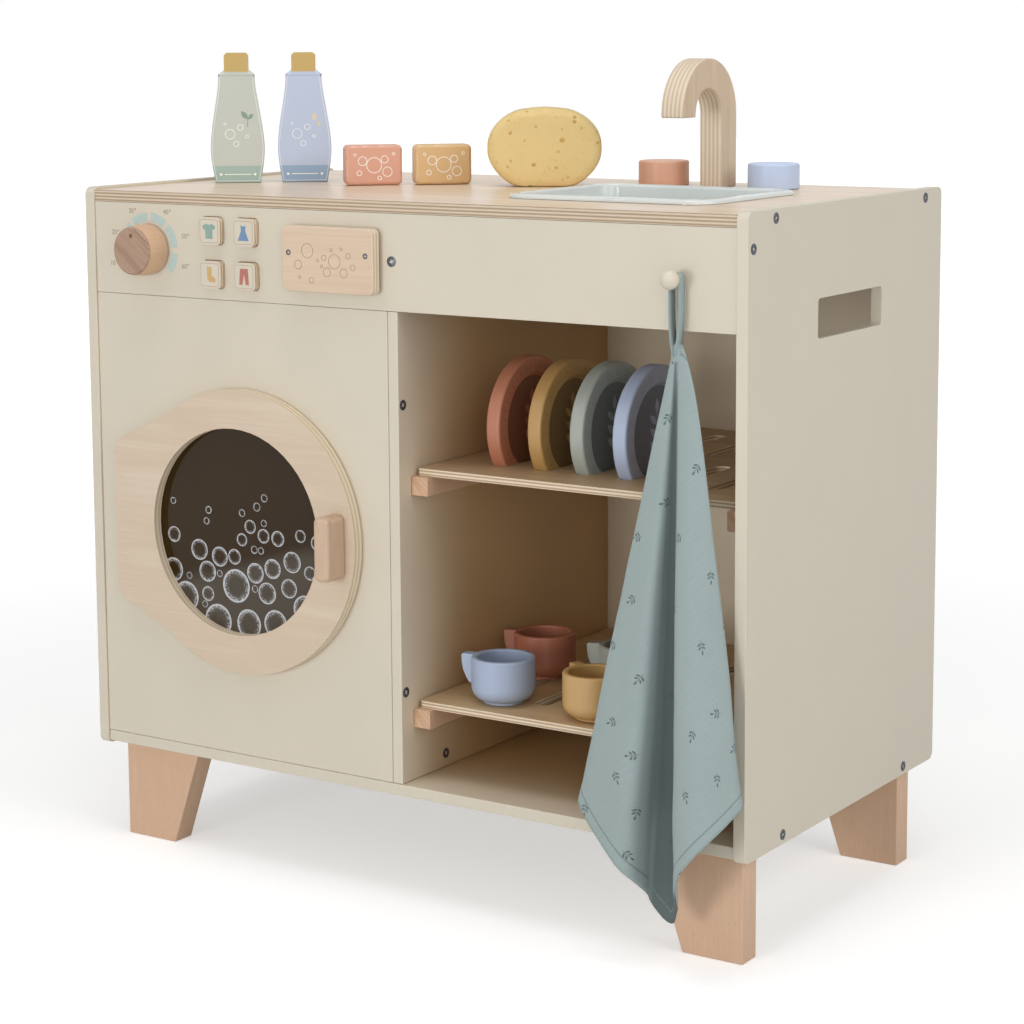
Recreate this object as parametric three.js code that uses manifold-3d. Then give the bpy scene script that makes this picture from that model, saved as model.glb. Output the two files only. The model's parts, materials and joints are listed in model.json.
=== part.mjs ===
// A wooden play laundry unit for children: a plywood cabinet on four beech legs, with a washing
// compartment behind a round door on the left and two shelves on the right, a worktop with a sink,
// and the loose pieces that belong to it. All lengths are millimetres, X to the right, Y to the
// back, Z up, and the origin is on the floor under the middle of the whole object.
import * as THREE from "three";
import { mergeVertices } from "three/addons/utils/BufferGeometryUtils.js";
import Module from "manifold-3d";

const wasm = await Module();
wasm.setup();

// Driving dimensions of the cabinet
const cabinetWidth = 600;
const cabinetDepth = 320;
const cabinetHeight = 458;
const floorClearance = 81;
const boardThickness = 9;
const backBoardThickness = 6;
const backBoardRecess = 9;
const frontRecess = 1.5;
const sideLip = 2;
const sideCornerRadius = 6;
const bottomRaise = 2.5;
const fasciaMargin = 1.75;
const fitGap = 0.3;
const cutOverrun = 2;

// Handle cut-out in each side panel
const gripLength = 106;
const gripHeight = 29;
const gripCornerRadius = 3;
const gripBelowTop = 83;

// Legs, slanted on the inner side
const legThickness = 20.7;
const legFootWidth = 49.5;
const legTopWidth = 78;
const legInsetX = 11.5;
const legInsetY = 20;

// Shelves and the battens that carry them
const shelfThickness = 5.5;
const shelfRecess = 19.5;
const shelfSideGap = 2.3;
const shelfCornerRadius = 4;
const upperShelfHeight = 334.6;
const lowerShelfHeight = 154.6;
const battenWidth = 15;
const battenHeight = 14.5;
const battenRecess = 15;

// Slots in the shelves, which hold the plates upright; the shares divide the depth left by two rows
const slotCount = 6;
const slotSideMargin = 48.1;
const slotFrontShare = 0.3568;
const slotRowGapShare = 0.3761;

// Plates
const plateRadius = 51;
const plateThickness = 12;
const plateRimWidth = 13;
const plateRecessDepth = 3;
const plateEdgeRound = 1.5;
const plateCentreRise = 29.2;
const slotSideClearance = 0.5;
const slotEndClearance = 1;

// Cups, turned wood with a flat ear
const cupRadius = 24.4;
const cupHeight = 35.7;
const cupWall = 4;
const cupFloor = 6;
const cupFootRadius = 15;
const cupFootHeight = 2;
const cupBottomRound = 11;
const cupEarReach = 9;
const cupEarThickness = 8;
const cupEarHeight = 24;

// Where each cup stands, from the divider and from the shelf's front edge, and how its ear is turned
const blueCupFromDivider = 59.6;
const blueCupFromFront = 30.4;
const blueCupAngle = 190;
const terracottaCupFromDivider = 43.4;
const terracottaCupFromFront = 114.9;
const terracottaCupAngle = 195;
const mustardCupFromDivider = 143.1;
const mustardCupFromFront = 27.2;
const mustardCupAngle = 150;
const sageCupFromDivider = 122;
const sageCupFromFront = 114.1;
const sageCupAngle = 200;

// Round door
const doorRadius = 112.6;
const doorThickness = 10.5;
const doorGap = 0.5;
const doorLeftMargin = 23.8;
const doorRightMargin = 25.6;
const doorCentreHeight = 274.2;
const doorHoleRadius = 82;
const doorHoleShift = 4;
const doorTabReach = 125.7;
const doorTabHalfHeight = 61;
const doorTabCornerRadius = 7;
const doorTabFlareAngle = 128;
const panelHoleRadius = 79;

// Window in the door
const windowThickness = 2;
const windowRebate = 6;

// Wooden grip on the door
const doorGripWidth = 14.5;
const doorGripHeight = 49.5;
const doorGripDepth = 21;
const doorGripBevel = 3;
const doorGripCornerRadius = 4.5;
const doorGripFromEdge = 23.5;

// Door hinges: two leaves with knuckles round a steel pin
const hingeKnuckleRadius = 2;
const hingePinRadius = 0.8;
const hingeRunningGap = 0.1;
const hingeHeight = 26;
const hingeKnuckleShare = 1 / 3;
const hingeLeafThickness = 0.8;
const hingeLeafWidth = 16;
const hingePocketGap = 0.15;
const hingeAxisLeft = 3;
const hingeAxisFront = 2.5;
const hingeSpacing = 78;

// Magnet that holds the door shut
const magnetRadius = 5;
const magnetLength = 5;

// Temperature dial
const dialRadius = 20.1;
const dialFaceRadius = 18.9;
const dialDepth = 22;
const dialEdgeRound = 1.5;
const dialAcrossShare = 0.1964;
const dialShaftRadius = 4;
const dialSocketDepth = 12;
const dialMarkRadius = 1.4;
const dialMarkDepth = 0.8;
const dialMarkOffset = 12;
const turningGap = 0.4;
const collarRadius = 8;
const collarThickness = 4;

// Push buttons
const buttonSize = 21.5;
const buttonCornerRadius = 4;
const buttonGap = 0.5;
const buttonPitch = 34;
const buttonProud = 5;
const buttonsAcrossShare = 0.4817;
const buttonFlange = 2.5;
const buttonFlangeThickness = 3;
const buttonTravel = 4;
const buttonHolderWall = 4;

// Soap drawer
const drawerFrontWidth = 85.3;
const drawerFrontHeight = 49.5;
const drawerFrontThickness = 9;
const drawerStandOff = 2;
const drawerCornerRadius = 4.5;
const drawerAcrossShare = 0.8342;
const drawerBoxWidth = 66;
const drawerBoxHeight = 32;
const drawerBoxDepth = 92;
const drawerWall = 5;
const drawerRunningGap = 0.5;
const drawerHousingWall = 4;
const drawerBackGap = 2;

// Towel peg
const pegBallRadius = 6.75;
const pegStemRadius = 3;
const pegReach = 16;
const pegFromRight = 53.1;
const pegRoot = 8;

// Sink basin let into the worktop
const sinkWidth = 178;
const sinkDepth = 152;
const sinkCornerRadius = 22;
const sinkRimWidth = 9;
const sinkRimHeight = 3.5;
const sinkRimRound = 1.2;
const sinkWall = 2.5;
const sinkBowlDepth = 46;
const sinkDraft = 4;
const sinkFromBayMiddle = 5.4;
const sinkFrontShare = 0.385;
const sinkHoleGap = 0.8;

// Faucet and tap knobs
const faucetThickness = 19.5;
const faucetPostWidth = 25.5;
const faucetSpoutWidth = 21;
const faucetInnerRadius = 20.4;
const faucetStraight = 58;
const faucetSpoutDrop = 1.5;
const faucetBehindShare = 0.4434;
const faucetFromSinkMiddle = 9.3;
const tapRadius = 20.4;
const tapHeight = 20;
const tapEdgeRound = 1.5;
const tapSpread = 49.5;
const dowelRadius = 4;
const dowelInsert = 12;

// Bottles, cut from board
const bottleHeight = 107;
const bottleWidth = 44.6;
const bottleThickness = 10;
const bottleAngle = 37;

// Soap blocks
const soapWidth = 46.5;
const soapHeight = 32.5;
const soapThickness = 20;
const soapEdgeRound = 2.5;
const soapCornerRadius = 4;
const soapAngle = 44;

// Sponge, standing on its long edge
const spongeWidth = 91.5;
const spongeHeight = 63;
const spongeThickness = 36;
const spongeEdgeRound = 6;
const spongeSquash = 1.5;
const spongeAngle = 32;

// Towel, hung from the peg by a loop of tape at one corner
const towelThickness = 2.4;
const towelNeckWidth = 14;
const towelFoldDepth = 9;
const towelFoldCount = 2.5;
const towelFoldAtNeckShare = 0.25;
const towelLeanShare = 0.25;
const towelFlareShare = 0.85;
const towelLeftReach = 75;
const towelRightReach = 51;
const towelLeftHeight = 114;
const towelRightHeight = 134;
const towelTipHeight = 35;
const towelTipShare = 0.58;
const towelColumns = 20;
const towelRows = 14;
const towelStandOff = 14;
const loopTapeThickness = 1.2;
const loopTapeWidth = 8;
const loopDrop = 46;
const loopEyeRadius = 1;

// How finely round shapes are divided, and how near two corners count as one
const doorSides = 72;
const holeSides = 56;
const plateSides = 36;
const knobSides = 32;
const barSides = 24;
const dowelSides = 16;
const pinSides = 12;
const cornerSteps = 4;
const coarseCornerSteps = 2;
const outlineSteps = 6;
const archSteps = 20;
const sameCorner = 1e-4;

// Colours, roughness and metalness of the finishes
function finish(colour, roughness, metalness = 0) {
  return new THREE.MeshStandardMaterial({ color: new THREE.Color(...colour), roughness, metalness });
}
const creamPaint = finish([0.71, 0.66, 0.56], 0.55);
const birch = finish([0.78, 0.66, 0.5], 0.5);
const beech = finish([0.7, 0.5, 0.34], 0.5);
const acrylic = finish([0.08, 0.06, 0.05], 0.1);
const zincSteel = finish([0.5, 0.5, 0.5], 0.35, 1);
const whitePlastic = finish([0.8, 0.85, 0.82], 0.3);
const terracotta = finish([0.62, 0.3, 0.2], 0.45);
const mustard = finish([0.62, 0.43, 0.18], 0.45);
const sage = finish([0.5, 0.55, 0.5], 0.45);
const skyBlue = finish([0.5, 0.6, 0.78], 0.45);
const foam = finish([0.85, 0.68, 0.3], 0.9);
const cloth = finish([0.4, 0.52, 0.53], 0.95);

// Planes and places that many pieces share
const halfWidth = cabinetWidth / 2;
const halfDepth = cabinetDepth / 2;
const sideBottom = floorClearance;
const sideTop = sideBottom + cabinetHeight;
const innerLeft = -halfWidth + boardThickness;
const innerRight = halfWidth - boardThickness;
const frontFace = -halfDepth + frontRecess;
const boardBack = frontFace + boardThickness;
const rearEdge = halfDepth - frontRecess;
const backBoardFront = halfDepth - backBoardRecess - backBoardThickness;
const worktopTop = sideTop - sideLip;
const worktopUnder = worktopTop - boardThickness;

// The fascia is as high as the board behind the two rows of buttons, with a margin above and below
const flangeSize = buttonSize + 2 * buttonFlange;
const pocketSize = flangeSize + 2 * buttonGap;
const holderHalf = buttonPitch / 2 + pocketSize / 2 + buttonHolderWall;
const fasciaHeight = 2 * (holderHalf + fasciaMargin);
const fasciaBottom = worktopUnder - fasciaHeight;
const fasciaMiddle = (fasciaBottom + worktopUnder) / 2;
const bottomUnder = sideBottom + bottomRaise;
const bottomTop = bottomUnder + boardThickness;
const doorCentreX = innerLeft + doorLeftMargin + doorTabReach;
const dividerLeft = doorCentreX + doorRadius + doorRightMargin;
const dividerRight = dividerLeft + boardThickness;
const washerWidth = dividerLeft - innerLeft;

// A closed solid from a three.js geometry: shared corners are merged, and only the shape is kept
function solid(geometry) {
  const bare = geometry.index ? geometry.toNonIndexed() : geometry.clone();
  for (const name of Object.keys(bare.attributes)) {
    if (name !== "position") bare.deleteAttribute(name);
  }
  const merged = mergeVertices(bare, sameCorner);
  return new wasm.Manifold(
    new wasm.Mesh({
      numProp: 3,
      vertProperties: new Float32Array(merged.attributes.position.array),
      triVerts: new Uint32Array(merged.index.array),
    }),
  );
}

// A solid back to a drawable geometry
function drawable(body) {
  const raw = body.getMesh();
  const geometry = new THREE.BufferGeometry();
  geometry.setAttribute("position", new THREE.BufferAttribute(new Float32Array(raw.vertProperties), 3));
  geometry.setIndex(new THREE.BufferAttribute(new Uint32Array(raw.triVerts), 1));
  const flat = geometry.toNonIndexed();
  flat.computeVertexNormals();
  return flat;
}

const unit = new THREE.Group();

// Adds one finished piece to the unit
function piece(name, body, material) {
  const mesh = new THREE.Mesh(drawable(body), material);
  mesh.name = name;
  unit.add(mesh);
}

// A block between two corners
function block(x0, x1, y0, y1, z0, z1) {
  const geometry = new THREE.BoxGeometry(x1 - x0, y1 - y0, z1 - z0);
  return solid(geometry.translate((x0 + x1) / 2, (y0 + y1) / 2, (z0 + z1) / 2));
}

// A rectangle with round corners, centred on a point
function roundedRectangle(width, height, radius, cx = 0, cy = 0) {
  const shape = new THREE.Shape();
  const x0 = cx - width / 2;
  const y0 = cy - height / 2;
  const r = Math.min(radius, width / 2, height / 2);
  shape.moveTo(x0 + r, y0);
  shape.lineTo(x0 + width - r, y0);
  shape.absarc(x0 + width - r, y0 + r, r, -Math.PI / 2, 0);
  shape.lineTo(x0 + width, y0 + height - r);
  shape.absarc(x0 + width - r, y0 + height - r, r, 0, Math.PI / 2);
  shape.lineTo(x0 + r, y0 + height);
  shape.absarc(x0 + r, y0 + height - r, r, Math.PI / 2, Math.PI);
  shape.lineTo(x0, y0 + r);
  shape.absarc(x0 + r, y0 + r, r, Math.PI, Math.PI * 1.5);
  return shape;
}

// A flat outline drawn in X and Y, made thick from z0 to z1
function upright(shape, z0, z1, curveSegments = cornerSteps) {
  const geometry = new THREE.ExtrudeGeometry(shape, { depth: z1 - z0, bevelEnabled: false, curveSegments });
  return solid(geometry.translate(0, 0, z0));
}

// A flat outline drawn in X and Z, made thick from y0 in front to y1 behind
function facing(shape, y0, y1, curveSegments = cornerSteps) {
  const geometry = new THREE.ExtrudeGeometry(shape, { depth: y1 - y0, bevelEnabled: false, curveSegments });
  return solid(geometry.rotateX(Math.PI / 2).translate(0, y1, 0));
}

// A flat outline drawn in Y and Z, made thick from x0 to x1
function sideways(shape, x0, x1, curveSegments = cornerSteps) {
  const geometry = new THREE.ExtrudeGeometry(shape, { depth: x1 - x0, bevelEnabled: false, curveSegments });
  return solid(geometry.rotateX(Math.PI / 2).rotateZ(Math.PI / 2).translate(x0, 0, 0));
}

// The same kind of outline with its two long edges rounded over, for blocks and bottles
function roundedBoard(shape, thickness, round, curveSegments = cornerSteps) {
  const geometry = new THREE.ExtrudeGeometry(shape, {
    depth: thickness - 2 * round,
    bevelEnabled: true,
    bevelSize: round,
    bevelThickness: round,
    bevelOffset: -round,
    bevelSegments: coarseCornerSteps,
    curveSegments,
  });
  return solid(geometry.translate(0, 0, round - thickness / 2).rotateX(Math.PI / 2));
}

// A profile of [radius, height] points turned round the Z axis
function turned(profile, segments = knobSides) {
  const points = profile.map(([radius, height]) => new THREE.Vector2(radius, height));
  return solid(new THREE.LatheGeometry(points, segments).rotateX(Math.PI / 2));
}

function drum(radius, z0, z1, segments = knobSides) {
  return turned([[0, z0], [radius, z0], [radius, z1], [0, z1]], segments);
}

// A round bar between two depths
function barFacing(radius, x, z, y0, y1, segments = knobSides) {
  return drum(radius, 0, y1 - y0, segments).rotate([90, 0, 0]).translate([x, y1, z]);
}

// Cabinet boards
function sidePanel(name, x0, x1) {
  const outline = roundedRectangle(
    cabinetDepth,
    cabinetHeight,
    sideCornerRadius,
    0,
    sideBottom + cabinetHeight / 2,
  );
  const grip = roundedRectangle(gripLength, gripHeight, gripCornerRadius, 0, sideTop - gripBelowTop);
  const body = sideways(outline, x0, x1).subtract(sideways(grip, x0 - cutOverrun, x1 + cutOverrun));
  piece(name, body, creamPaint);
}
sidePanel("side_panel_left", -halfWidth, innerLeft);
sidePanel("side_panel_right", innerRight, halfWidth);

const boardLeft = innerLeft + fitGap;
const boardRight = innerRight - fitGap;
piece(
  "bottom_panel",
  block(boardLeft, boardRight, frontFace, backBoardFront + backBoardThickness, bottomUnder, bottomTop),
  creamPaint,
);
piece(
  "back_panel",
  block(
    boardLeft,
    boardRight,
    backBoardFront,
    backBoardFront + backBoardThickness,
    bottomTop + fitGap,
    worktopUnder - fitGap,
  ),
  creamPaint,
);

const dividerBody = block(
  dividerLeft,
  dividerRight,
  frontFace,
  backBoardFront - fitGap,
  bottomTop + fitGap,
  worktopUnder - fitGap,
).subtract(
  block(
    dividerLeft - cutOverrun,
    dividerRight + cutOverrun,
    frontFace - cutOverrun,
    boardBack + fitGap,
    fasciaBottom - fitGap,
    worktopUnder + cutOverrun,
  ),
);
piece("divider_panel", dividerBody, creamPaint);

// Places on the fascia
const dialX = innerLeft + washerWidth * dialAcrossShare;
const buttonGroupX = innerLeft + washerWidth * buttonsAcrossShare;
const drawerCentreX = innerLeft + washerWidth * drawerAcrossShare;
const pegX = halfWidth - pegFromRight;
const buttonPlaces = [];
for (const row of [1, -1]) {
  for (const column of [-1, 1]) {
    buttonPlaces.push([buttonGroupX + (column * buttonPitch) / 2, fasciaMiddle + (row * buttonPitch) / 2]);
  }
}

// Control fascia with its openings for the dial, the buttons, the drawer and the peg
let fasciaBody = block(boardLeft, boardRight, frontFace, boardBack, fasciaBottom, worktopUnder - fitGap);
const fasciaCutFront = frontFace - cutOverrun;
const fasciaCutBack = boardBack + cutOverrun;
fasciaBody = fasciaBody.subtract(
  barFacing(dialShaftRadius + turningGap, dialX, fasciaMiddle, fasciaCutFront, fasciaCutBack, barSides),
);
for (const [x, z] of buttonPlaces) {
  const hole = roundedRectangle(
    buttonSize + 2 * buttonGap,
    buttonSize + 2 * buttonGap,
    buttonCornerRadius + buttonGap,
    x,
    z,
  );
  fasciaBody = fasciaBody.subtract(facing(hole, fasciaCutFront, fasciaCutBack));
}
fasciaBody = fasciaBody.subtract(
  block(
    drawerCentreX - drawerBoxWidth / 2 - drawerRunningGap,
    drawerCentreX + drawerBoxWidth / 2 + drawerRunningGap,
    fasciaCutFront,
    fasciaCutBack,
    fasciaMiddle - drawerBoxHeight / 2 - drawerRunningGap,
    fasciaMiddle + drawerBoxHeight / 2 + drawerRunningGap,
  ),
);
const pegHoleBack = frontFace + pegRoot + fitGap;
fasciaBody = fasciaBody.subtract(
  barFacing(pegStemRadius + fitGap, pegX, fasciaMiddle, fasciaCutFront, pegHoleBack, barSides),
);
piece("control_fascia", fasciaBody, creamPaint);

// Worktop with the cut-out for the sink and the holes for the dowels
const sinkX = (dividerRight + innerRight) / 2 - sinkFromBayMiddle;
const sinkFront = frontFace + (rearEdge - frontFace - sinkDepth) * sinkFrontShare;
const sinkBack = sinkFront + sinkDepth;
const sinkY = (sinkFront + sinkBack) / 2;
const faucetX = sinkX - faucetFromSinkMiddle;
const faucetY = sinkBack + (rearEdge - sinkBack) * faucetBehindShare;
const bowlWidth = sinkWidth - 2 * sinkRimWidth;
const bowlLength = sinkDepth - 2 * sinkRimWidth;
const bowlCornerRadius = sinkCornerRadius - sinkRimWidth;
const dowelPlaces = [
  [faucetX - tapSpread, faucetY],
  [faucetX, faucetY],
  [faucetX + tapSpread, faucetY],
];
let worktopBody = block(boardLeft, boardRight, frontFace, rearEdge, worktopUnder, worktopTop);
worktopBody = worktopBody.subtract(
  upright(
    roundedRectangle(
      bowlWidth + 2 * sinkHoleGap,
      bowlLength + 2 * sinkHoleGap,
      bowlCornerRadius + sinkHoleGap,
      sinkX,
      sinkY,
    ),
    worktopUnder - cutOverrun,
    worktopTop + cutOverrun,
  ),
);
for (const [x, y] of dowelPlaces) {
  const holeRadius = dowelRadius + turningGap;
  const hole = drum(holeRadius, worktopUnder - cutOverrun, worktopTop + cutOverrun, dowelSides);
  worktopBody = worktopBody.subtract(hole.translate([x, y, 0]));
}
piece("worktop", worktopBody, birch);

// Hinges of the door, and the pockets that their leaves lie in
const doorBack = frontFace - doorGap;
const doorFront = doorBack - doorThickness;
const tabEdge = doorCentreX - doorTabReach;
const hingeX = tabEdge - hingeAxisLeft;
const hingeY = frontFace - hingeAxisFront;
const hingeHeights = [doorCentreHeight + hingeSpacing / 2, doorCentreHeight - hingeSpacing / 2];
const knuckleHalf = (hingeHeight * hingeKnuckleShare) / 2;
const leafRight = hingeX + hingeLeafWidth;

function leafPocket(z, y0, y1) {
  const spare = fitGap;
  return block(
    hingeX - hingeKnuckleRadius - spare,
    leafRight + spare,
    y0,
    y1,
    z - hingeHeight / 2 - spare,
    z + hingeHeight / 2 + spare,
  );
}

// Front panel of the washing compartment
const panelHoleX = doorCentreX - doorHoleShift;
let panelBody = block(
  boardLeft,
  dividerLeft - fitGap,
  frontFace,
  boardBack,
  bottomTop + fitGap,
  fasciaBottom - fitGap,
);
panelBody = panelBody.subtract(
  barFacing(panelHoleRadius, panelHoleX, doorCentreHeight, fasciaCutFront, fasciaCutBack, holeSides),
);
for (const z of hingeHeights) {
  panelBody = panelBody.subtract(
    leafPocket(z, frontFace - cutOverrun, frontFace + hingeLeafThickness + hingePocketGap),
  );
}
const magnetX = doorCentreX + (doorRadius + doorHoleRadius - doorHoleShift) / 2;
panelBody = panelBody.subtract(
  barFacing(
    magnetRadius + fitGap,
    magnetX,
    doorCentreHeight,
    frontFace - cutOverrun,
    frontFace + magnetLength + fitGap,
    barSides,
  ),
);
piece("front_panel", panelBody, creamPaint);
piece(
  "door_magnet",
  barFacing(magnetRadius, magnetX, doorCentreHeight, frontFace, frontFace + magnetLength, barSides),
  zincSteel,
);

// The door: a ring with a straight-sided tab towards its hinges, which flares into the ring
function doorTab() {
  const slopeStartShare = 0.86;
  const slopeRiseShare = 1.16;
  const flareAngle = THREE.MathUtils.degToRad(doorTabFlareAngle);
  const r = doorTabCornerRadius;
  const joinX = doorRadius * Math.cos(flareAngle);
  const joinZ = doorRadius * Math.sin(flareAngle);
  const slopeX = -doorTabReach * slopeStartShare;
  const slopeZ = doorTabHalfHeight * slopeRiseShare;
  const bendX = (joinX + slopeX) / 2 - r;
  const bendZ = slopeZ + (joinZ - slopeZ) / 4;
  const shape = new THREE.Shape();
  shape.moveTo(joinX, joinZ);
  shape.quadraticCurveTo(bendX, bendZ, slopeX, slopeZ);
  shape.quadraticCurveTo(-doorTabReach, doorTabHalfHeight + r / 2, -doorTabReach, doorTabHalfHeight - r);
  shape.lineTo(-doorTabReach, -doorTabHalfHeight + r);
  shape.quadraticCurveTo(-doorTabReach, -doorTabHalfHeight - r / 2, slopeX, -slopeZ);
  shape.quadraticCurveTo(bendX, -bendZ, joinX, -joinZ);
  shape.closePath();
  return shape;
}
let doorBody = barFacing(doorRadius, doorCentreX, doorCentreHeight, doorFront, doorBack, doorSides).add(
  facing(doorTab(), doorFront, doorBack, outlineSteps).translate([doorCentreX, 0, doorCentreHeight]),
);
doorBody = doorBody.subtract(
  barFacing(
    doorHoleRadius,
    panelHoleX,
    doorCentreHeight,
    doorFront - cutOverrun,
    doorBack + cutOverrun,
    holeSides,
  ),
);
const windowRadius = doorHoleRadius + windowRebate;
doorBody = doorBody.subtract(
  barFacing(
    windowRadius + fitGap,
    panelHoleX,
    doorCentreHeight,
    doorBack - windowThickness - fitGap,
    doorBack + cutOverrun,
    holeSides,
  ),
);
for (const z of hingeHeights) {
  doorBody = doorBody.subtract(
    leafPocket(z, doorBack - hingeLeafThickness - hingePocketGap, doorBack + cutOverrun),
  );
}
piece("door_panel", doorBody, birch);
piece(
  "door_window",
  barFacing(windowRadius, panelHoleX, doorCentreHeight, doorBack - windowThickness, doorBack, holeSides),
  acrylic,
);

// Wooden grip, glued to the door
const gripRight = doorCentreX + doorRadius - doorGripFromEdge + doorGripWidth;
const gripX = gripRight - doorGripWidth / 2;
const gripBody = roundedBoard(
  roundedRectangle(doorGripWidth, doorGripHeight, doorGripCornerRadius, gripX, doorCentreHeight),
  doorGripDepth * 2,
  doorGripBevel,
  coarseCornerSteps,
)
  .translate([0, doorFront - fitGap, 0])
  .subtract(
    block(
      gripX - doorGripWidth,
      gripX + doorGripWidth,
      doorFront - fitGap,
      doorFront + doorGripDepth * 2,
      doorCentreHeight - doorGripHeight,
      doorCentreHeight + doorGripHeight,
    ),
  );
piece("door_grip", gripBody, beech);

// Two hinges, each a fixed leaf with two knuckles and the pin, and a moving leaf with one knuckle
function knuckle(radius, z0, z1) {
  return drum(radius, z0, z1, pinSides).translate([hingeX, hingeY, 0]);
}
function hinge(where, z) {
  const low = z - hingeHeight / 2;
  const high = z + hingeHeight / 2;
  const fixedY = frontFace;
  let fixed = knuckle(hingePinRadius, low, high);
  const fixedSpans = [
    [low, z - knuckleHalf - fitGap],
    [z + knuckleHalf + fitGap, high],
  ];
  for (const [z0, z1] of fixedSpans) {
    fixed = fixed.add(knuckle(hingeKnuckleRadius, z0, z1));
    fixed = fixed.add(
      block(
        hingeX - hingeKnuckleRadius,
        hingeX - hingeKnuckleRadius + 2 * hingeLeafThickness,
        hingeY,
        fixedY + hingeLeafThickness,
        z0,
        z1,
      ),
    );
  }
  fixed = fixed.add(
    block(hingeX - hingeKnuckleRadius, leafRight, fixedY, fixedY + hingeLeafThickness, low, high),
  );
  piece("hinge_" + where + "_fixed_leaf", fixed, zincSteel);

  const movingY = doorBack;
  let moving = knuckle(hingeKnuckleRadius, z - knuckleHalf, z + knuckleHalf);
  moving = moving.add(
    block(
      hingeX,
      tabEdge + hingeLeafThickness,
      movingY - hingeLeafThickness,
      movingY,
      z - knuckleHalf,
      z + knuckleHalf,
    ),
  );
  moving = moving.add(block(tabEdge, leafRight, movingY - hingeLeafThickness, movingY, low, high));
  moving = moving.subtract(knuckle(hingePinRadius + hingeRunningGap, low, high));
  piece("hinge_" + where + "_door_leaf", moving, zincSteel);
}
hinge("upper", hingeHeights[0]);
hinge("lower", hingeHeights[1]);

// Four legs
function leg(name, sideX, sideY) {
  const outer = halfWidth - legInsetX;
  const shape = new THREE.Shape();
  shape.moveTo(sideX * outer, 0);
  shape.lineTo(sideX * (outer - legFootWidth), 0);
  shape.lineTo(sideX * (outer - legTopWidth), bottomUnder - fitGap);
  shape.lineTo(sideX * outer, bottomUnder - fitGap);
  shape.closePath();
  const face = halfDepth - legInsetY;
  const y0 = sideY < 0 ? -face : face - legThickness;
  piece(name, facing(shape, y0, y0 + legThickness), beech);
}
leg("leg_front_left", -1, -1);
leg("leg_front_right", 1, -1);
leg("leg_back_left", -1, 1);
leg("leg_back_right", 1, 1);

// Shelves and battens
const shelfFront = -halfDepth + shelfRecess + frontRecess;
const shelfBack = backBoardFront - fitGap;
const shelfLeft = dividerRight + shelfSideGap;
const shelfRight = innerRight - shelfSideGap;
const shelfMiddle = (shelfLeft + shelfRight) / 2;
const slotWidth = plateThickness + 2 * slotSideClearance;

// A slot is as long as the part of a plate that sinks below the shelf's top, with room at its ends
const slotEndRadius = slotWidth / 2;
const plateHalfChord = Math.sqrt((plateRadius - plateEdgeRound) ** 2 - plateCentreRise ** 2);
const slotEndBulge = slotEndRadius - Math.sqrt(slotEndRadius ** 2 - (plateThickness / 2) ** 2);
const slotLength = 2 * (plateHalfChord + slotEndClearance + slotEndBulge);
const depthBesideSlots = shelfBack - shelfFront - 2 * slotLength;
const frontSlotRow = shelfFront + depthBesideSlots * slotFrontShare + slotLength / 2;
const slotRows = [frontSlotRow, frontSlotRow + slotLength + depthBesideSlots * slotRowGapShare];
const slotPitch = (shelfRight - shelfLeft - 2 * slotSideMargin) / (slotCount - 1);
const slotColumns = [];
for (let i = 0; i < slotCount; i += 1) {
  slotColumns.push(shelfMiddle + (i - (slotCount - 1) / 2) * slotPitch);
}

function shelf(name, top) {
  const depth = shelfBack - shelfFront;
  const outline = roundedRectangle(
    shelfRight - shelfLeft,
    depth,
    shelfCornerRadius,
    shelfMiddle,
    (shelfFront + shelfBack) / 2,
  );
  let body = upright(outline, top - shelfThickness, top, coarseCornerSteps);
  for (const x of slotColumns) {
    for (const y of slotRows) {
      const slot = roundedRectangle(slotWidth, slotLength, slotWidth / 2, x, y);
      body = body.subtract(
        upright(slot, top - shelfThickness - cutOverrun, top + cutOverrun, coarseCornerSteps),
      );
    }
  }
  piece(name, body, birch);
}
shelf("upper_shelf", upperShelfHeight);
shelf("lower_shelf", lowerShelfHeight);

const battenFront = -halfDepth + battenRecess + frontRecess;
function batten(name, x0, shelfTop) {
  const top = shelfTop - shelfThickness - fitGap;
  piece(name, block(x0, x0 + battenWidth, battenFront, shelfBack, top - battenHeight, top), beech);
}
for (const [level, height] of [["upper", upperShelfHeight], ["lower", lowerShelfHeight]]) {
  batten("batten_" + level + "_left", dividerRight + fitGap, height);
  batten("batten_" + level + "_right", innerRight - fitGap - battenWidth, height);
}

// Temperature dial and the shaft that carries it
const dialBack = frontFace - fitGap;
const dialFront = dialBack - dialDepth;
let dialBody = turned([
  [0, 0],
  [dialRadius - dialEdgeRound, 0],
  [dialRadius, dialEdgeRound],
  [dialRadius, dialDepth / 2],
  [dialFaceRadius, dialDepth - dialEdgeRound],
  [dialFaceRadius - dialEdgeRound, dialDepth],
  [0, dialDepth],
])
  .rotate([90, 0, 0])
  .translate([dialX, dialBack, fasciaMiddle]);
dialBody = dialBody.subtract(
  barFacing(
    dialShaftRadius + fitGap,
    dialX,
    fasciaMiddle,
    dialBack - dialSocketDepth,
    dialBack + cutOverrun,
    barSides,
  ),
);
dialBody = dialBody.subtract(
  barFacing(
    dialMarkRadius,
    dialX,
    fasciaMiddle + dialMarkOffset,
    dialFront - cutOverrun,
    dialFront + dialMarkDepth,
    pinSides,
  ),
);
piece("dial_knob", dialBody, beech);
const shaftFront = dialBack - dialSocketDepth + fitGap;
const collarFront = boardBack + fitGap;
const collarBack = collarFront + collarThickness;
const dialShaft = barFacing(dialShaftRadius, dialX, fasciaMiddle, shaftFront, collarBack, barSides).add(
  barFacing(collarRadius, dialX, fasciaMiddle, collarFront, collarBack, barSides),
);
piece("dial_shaft", dialShaft, beech);

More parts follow.
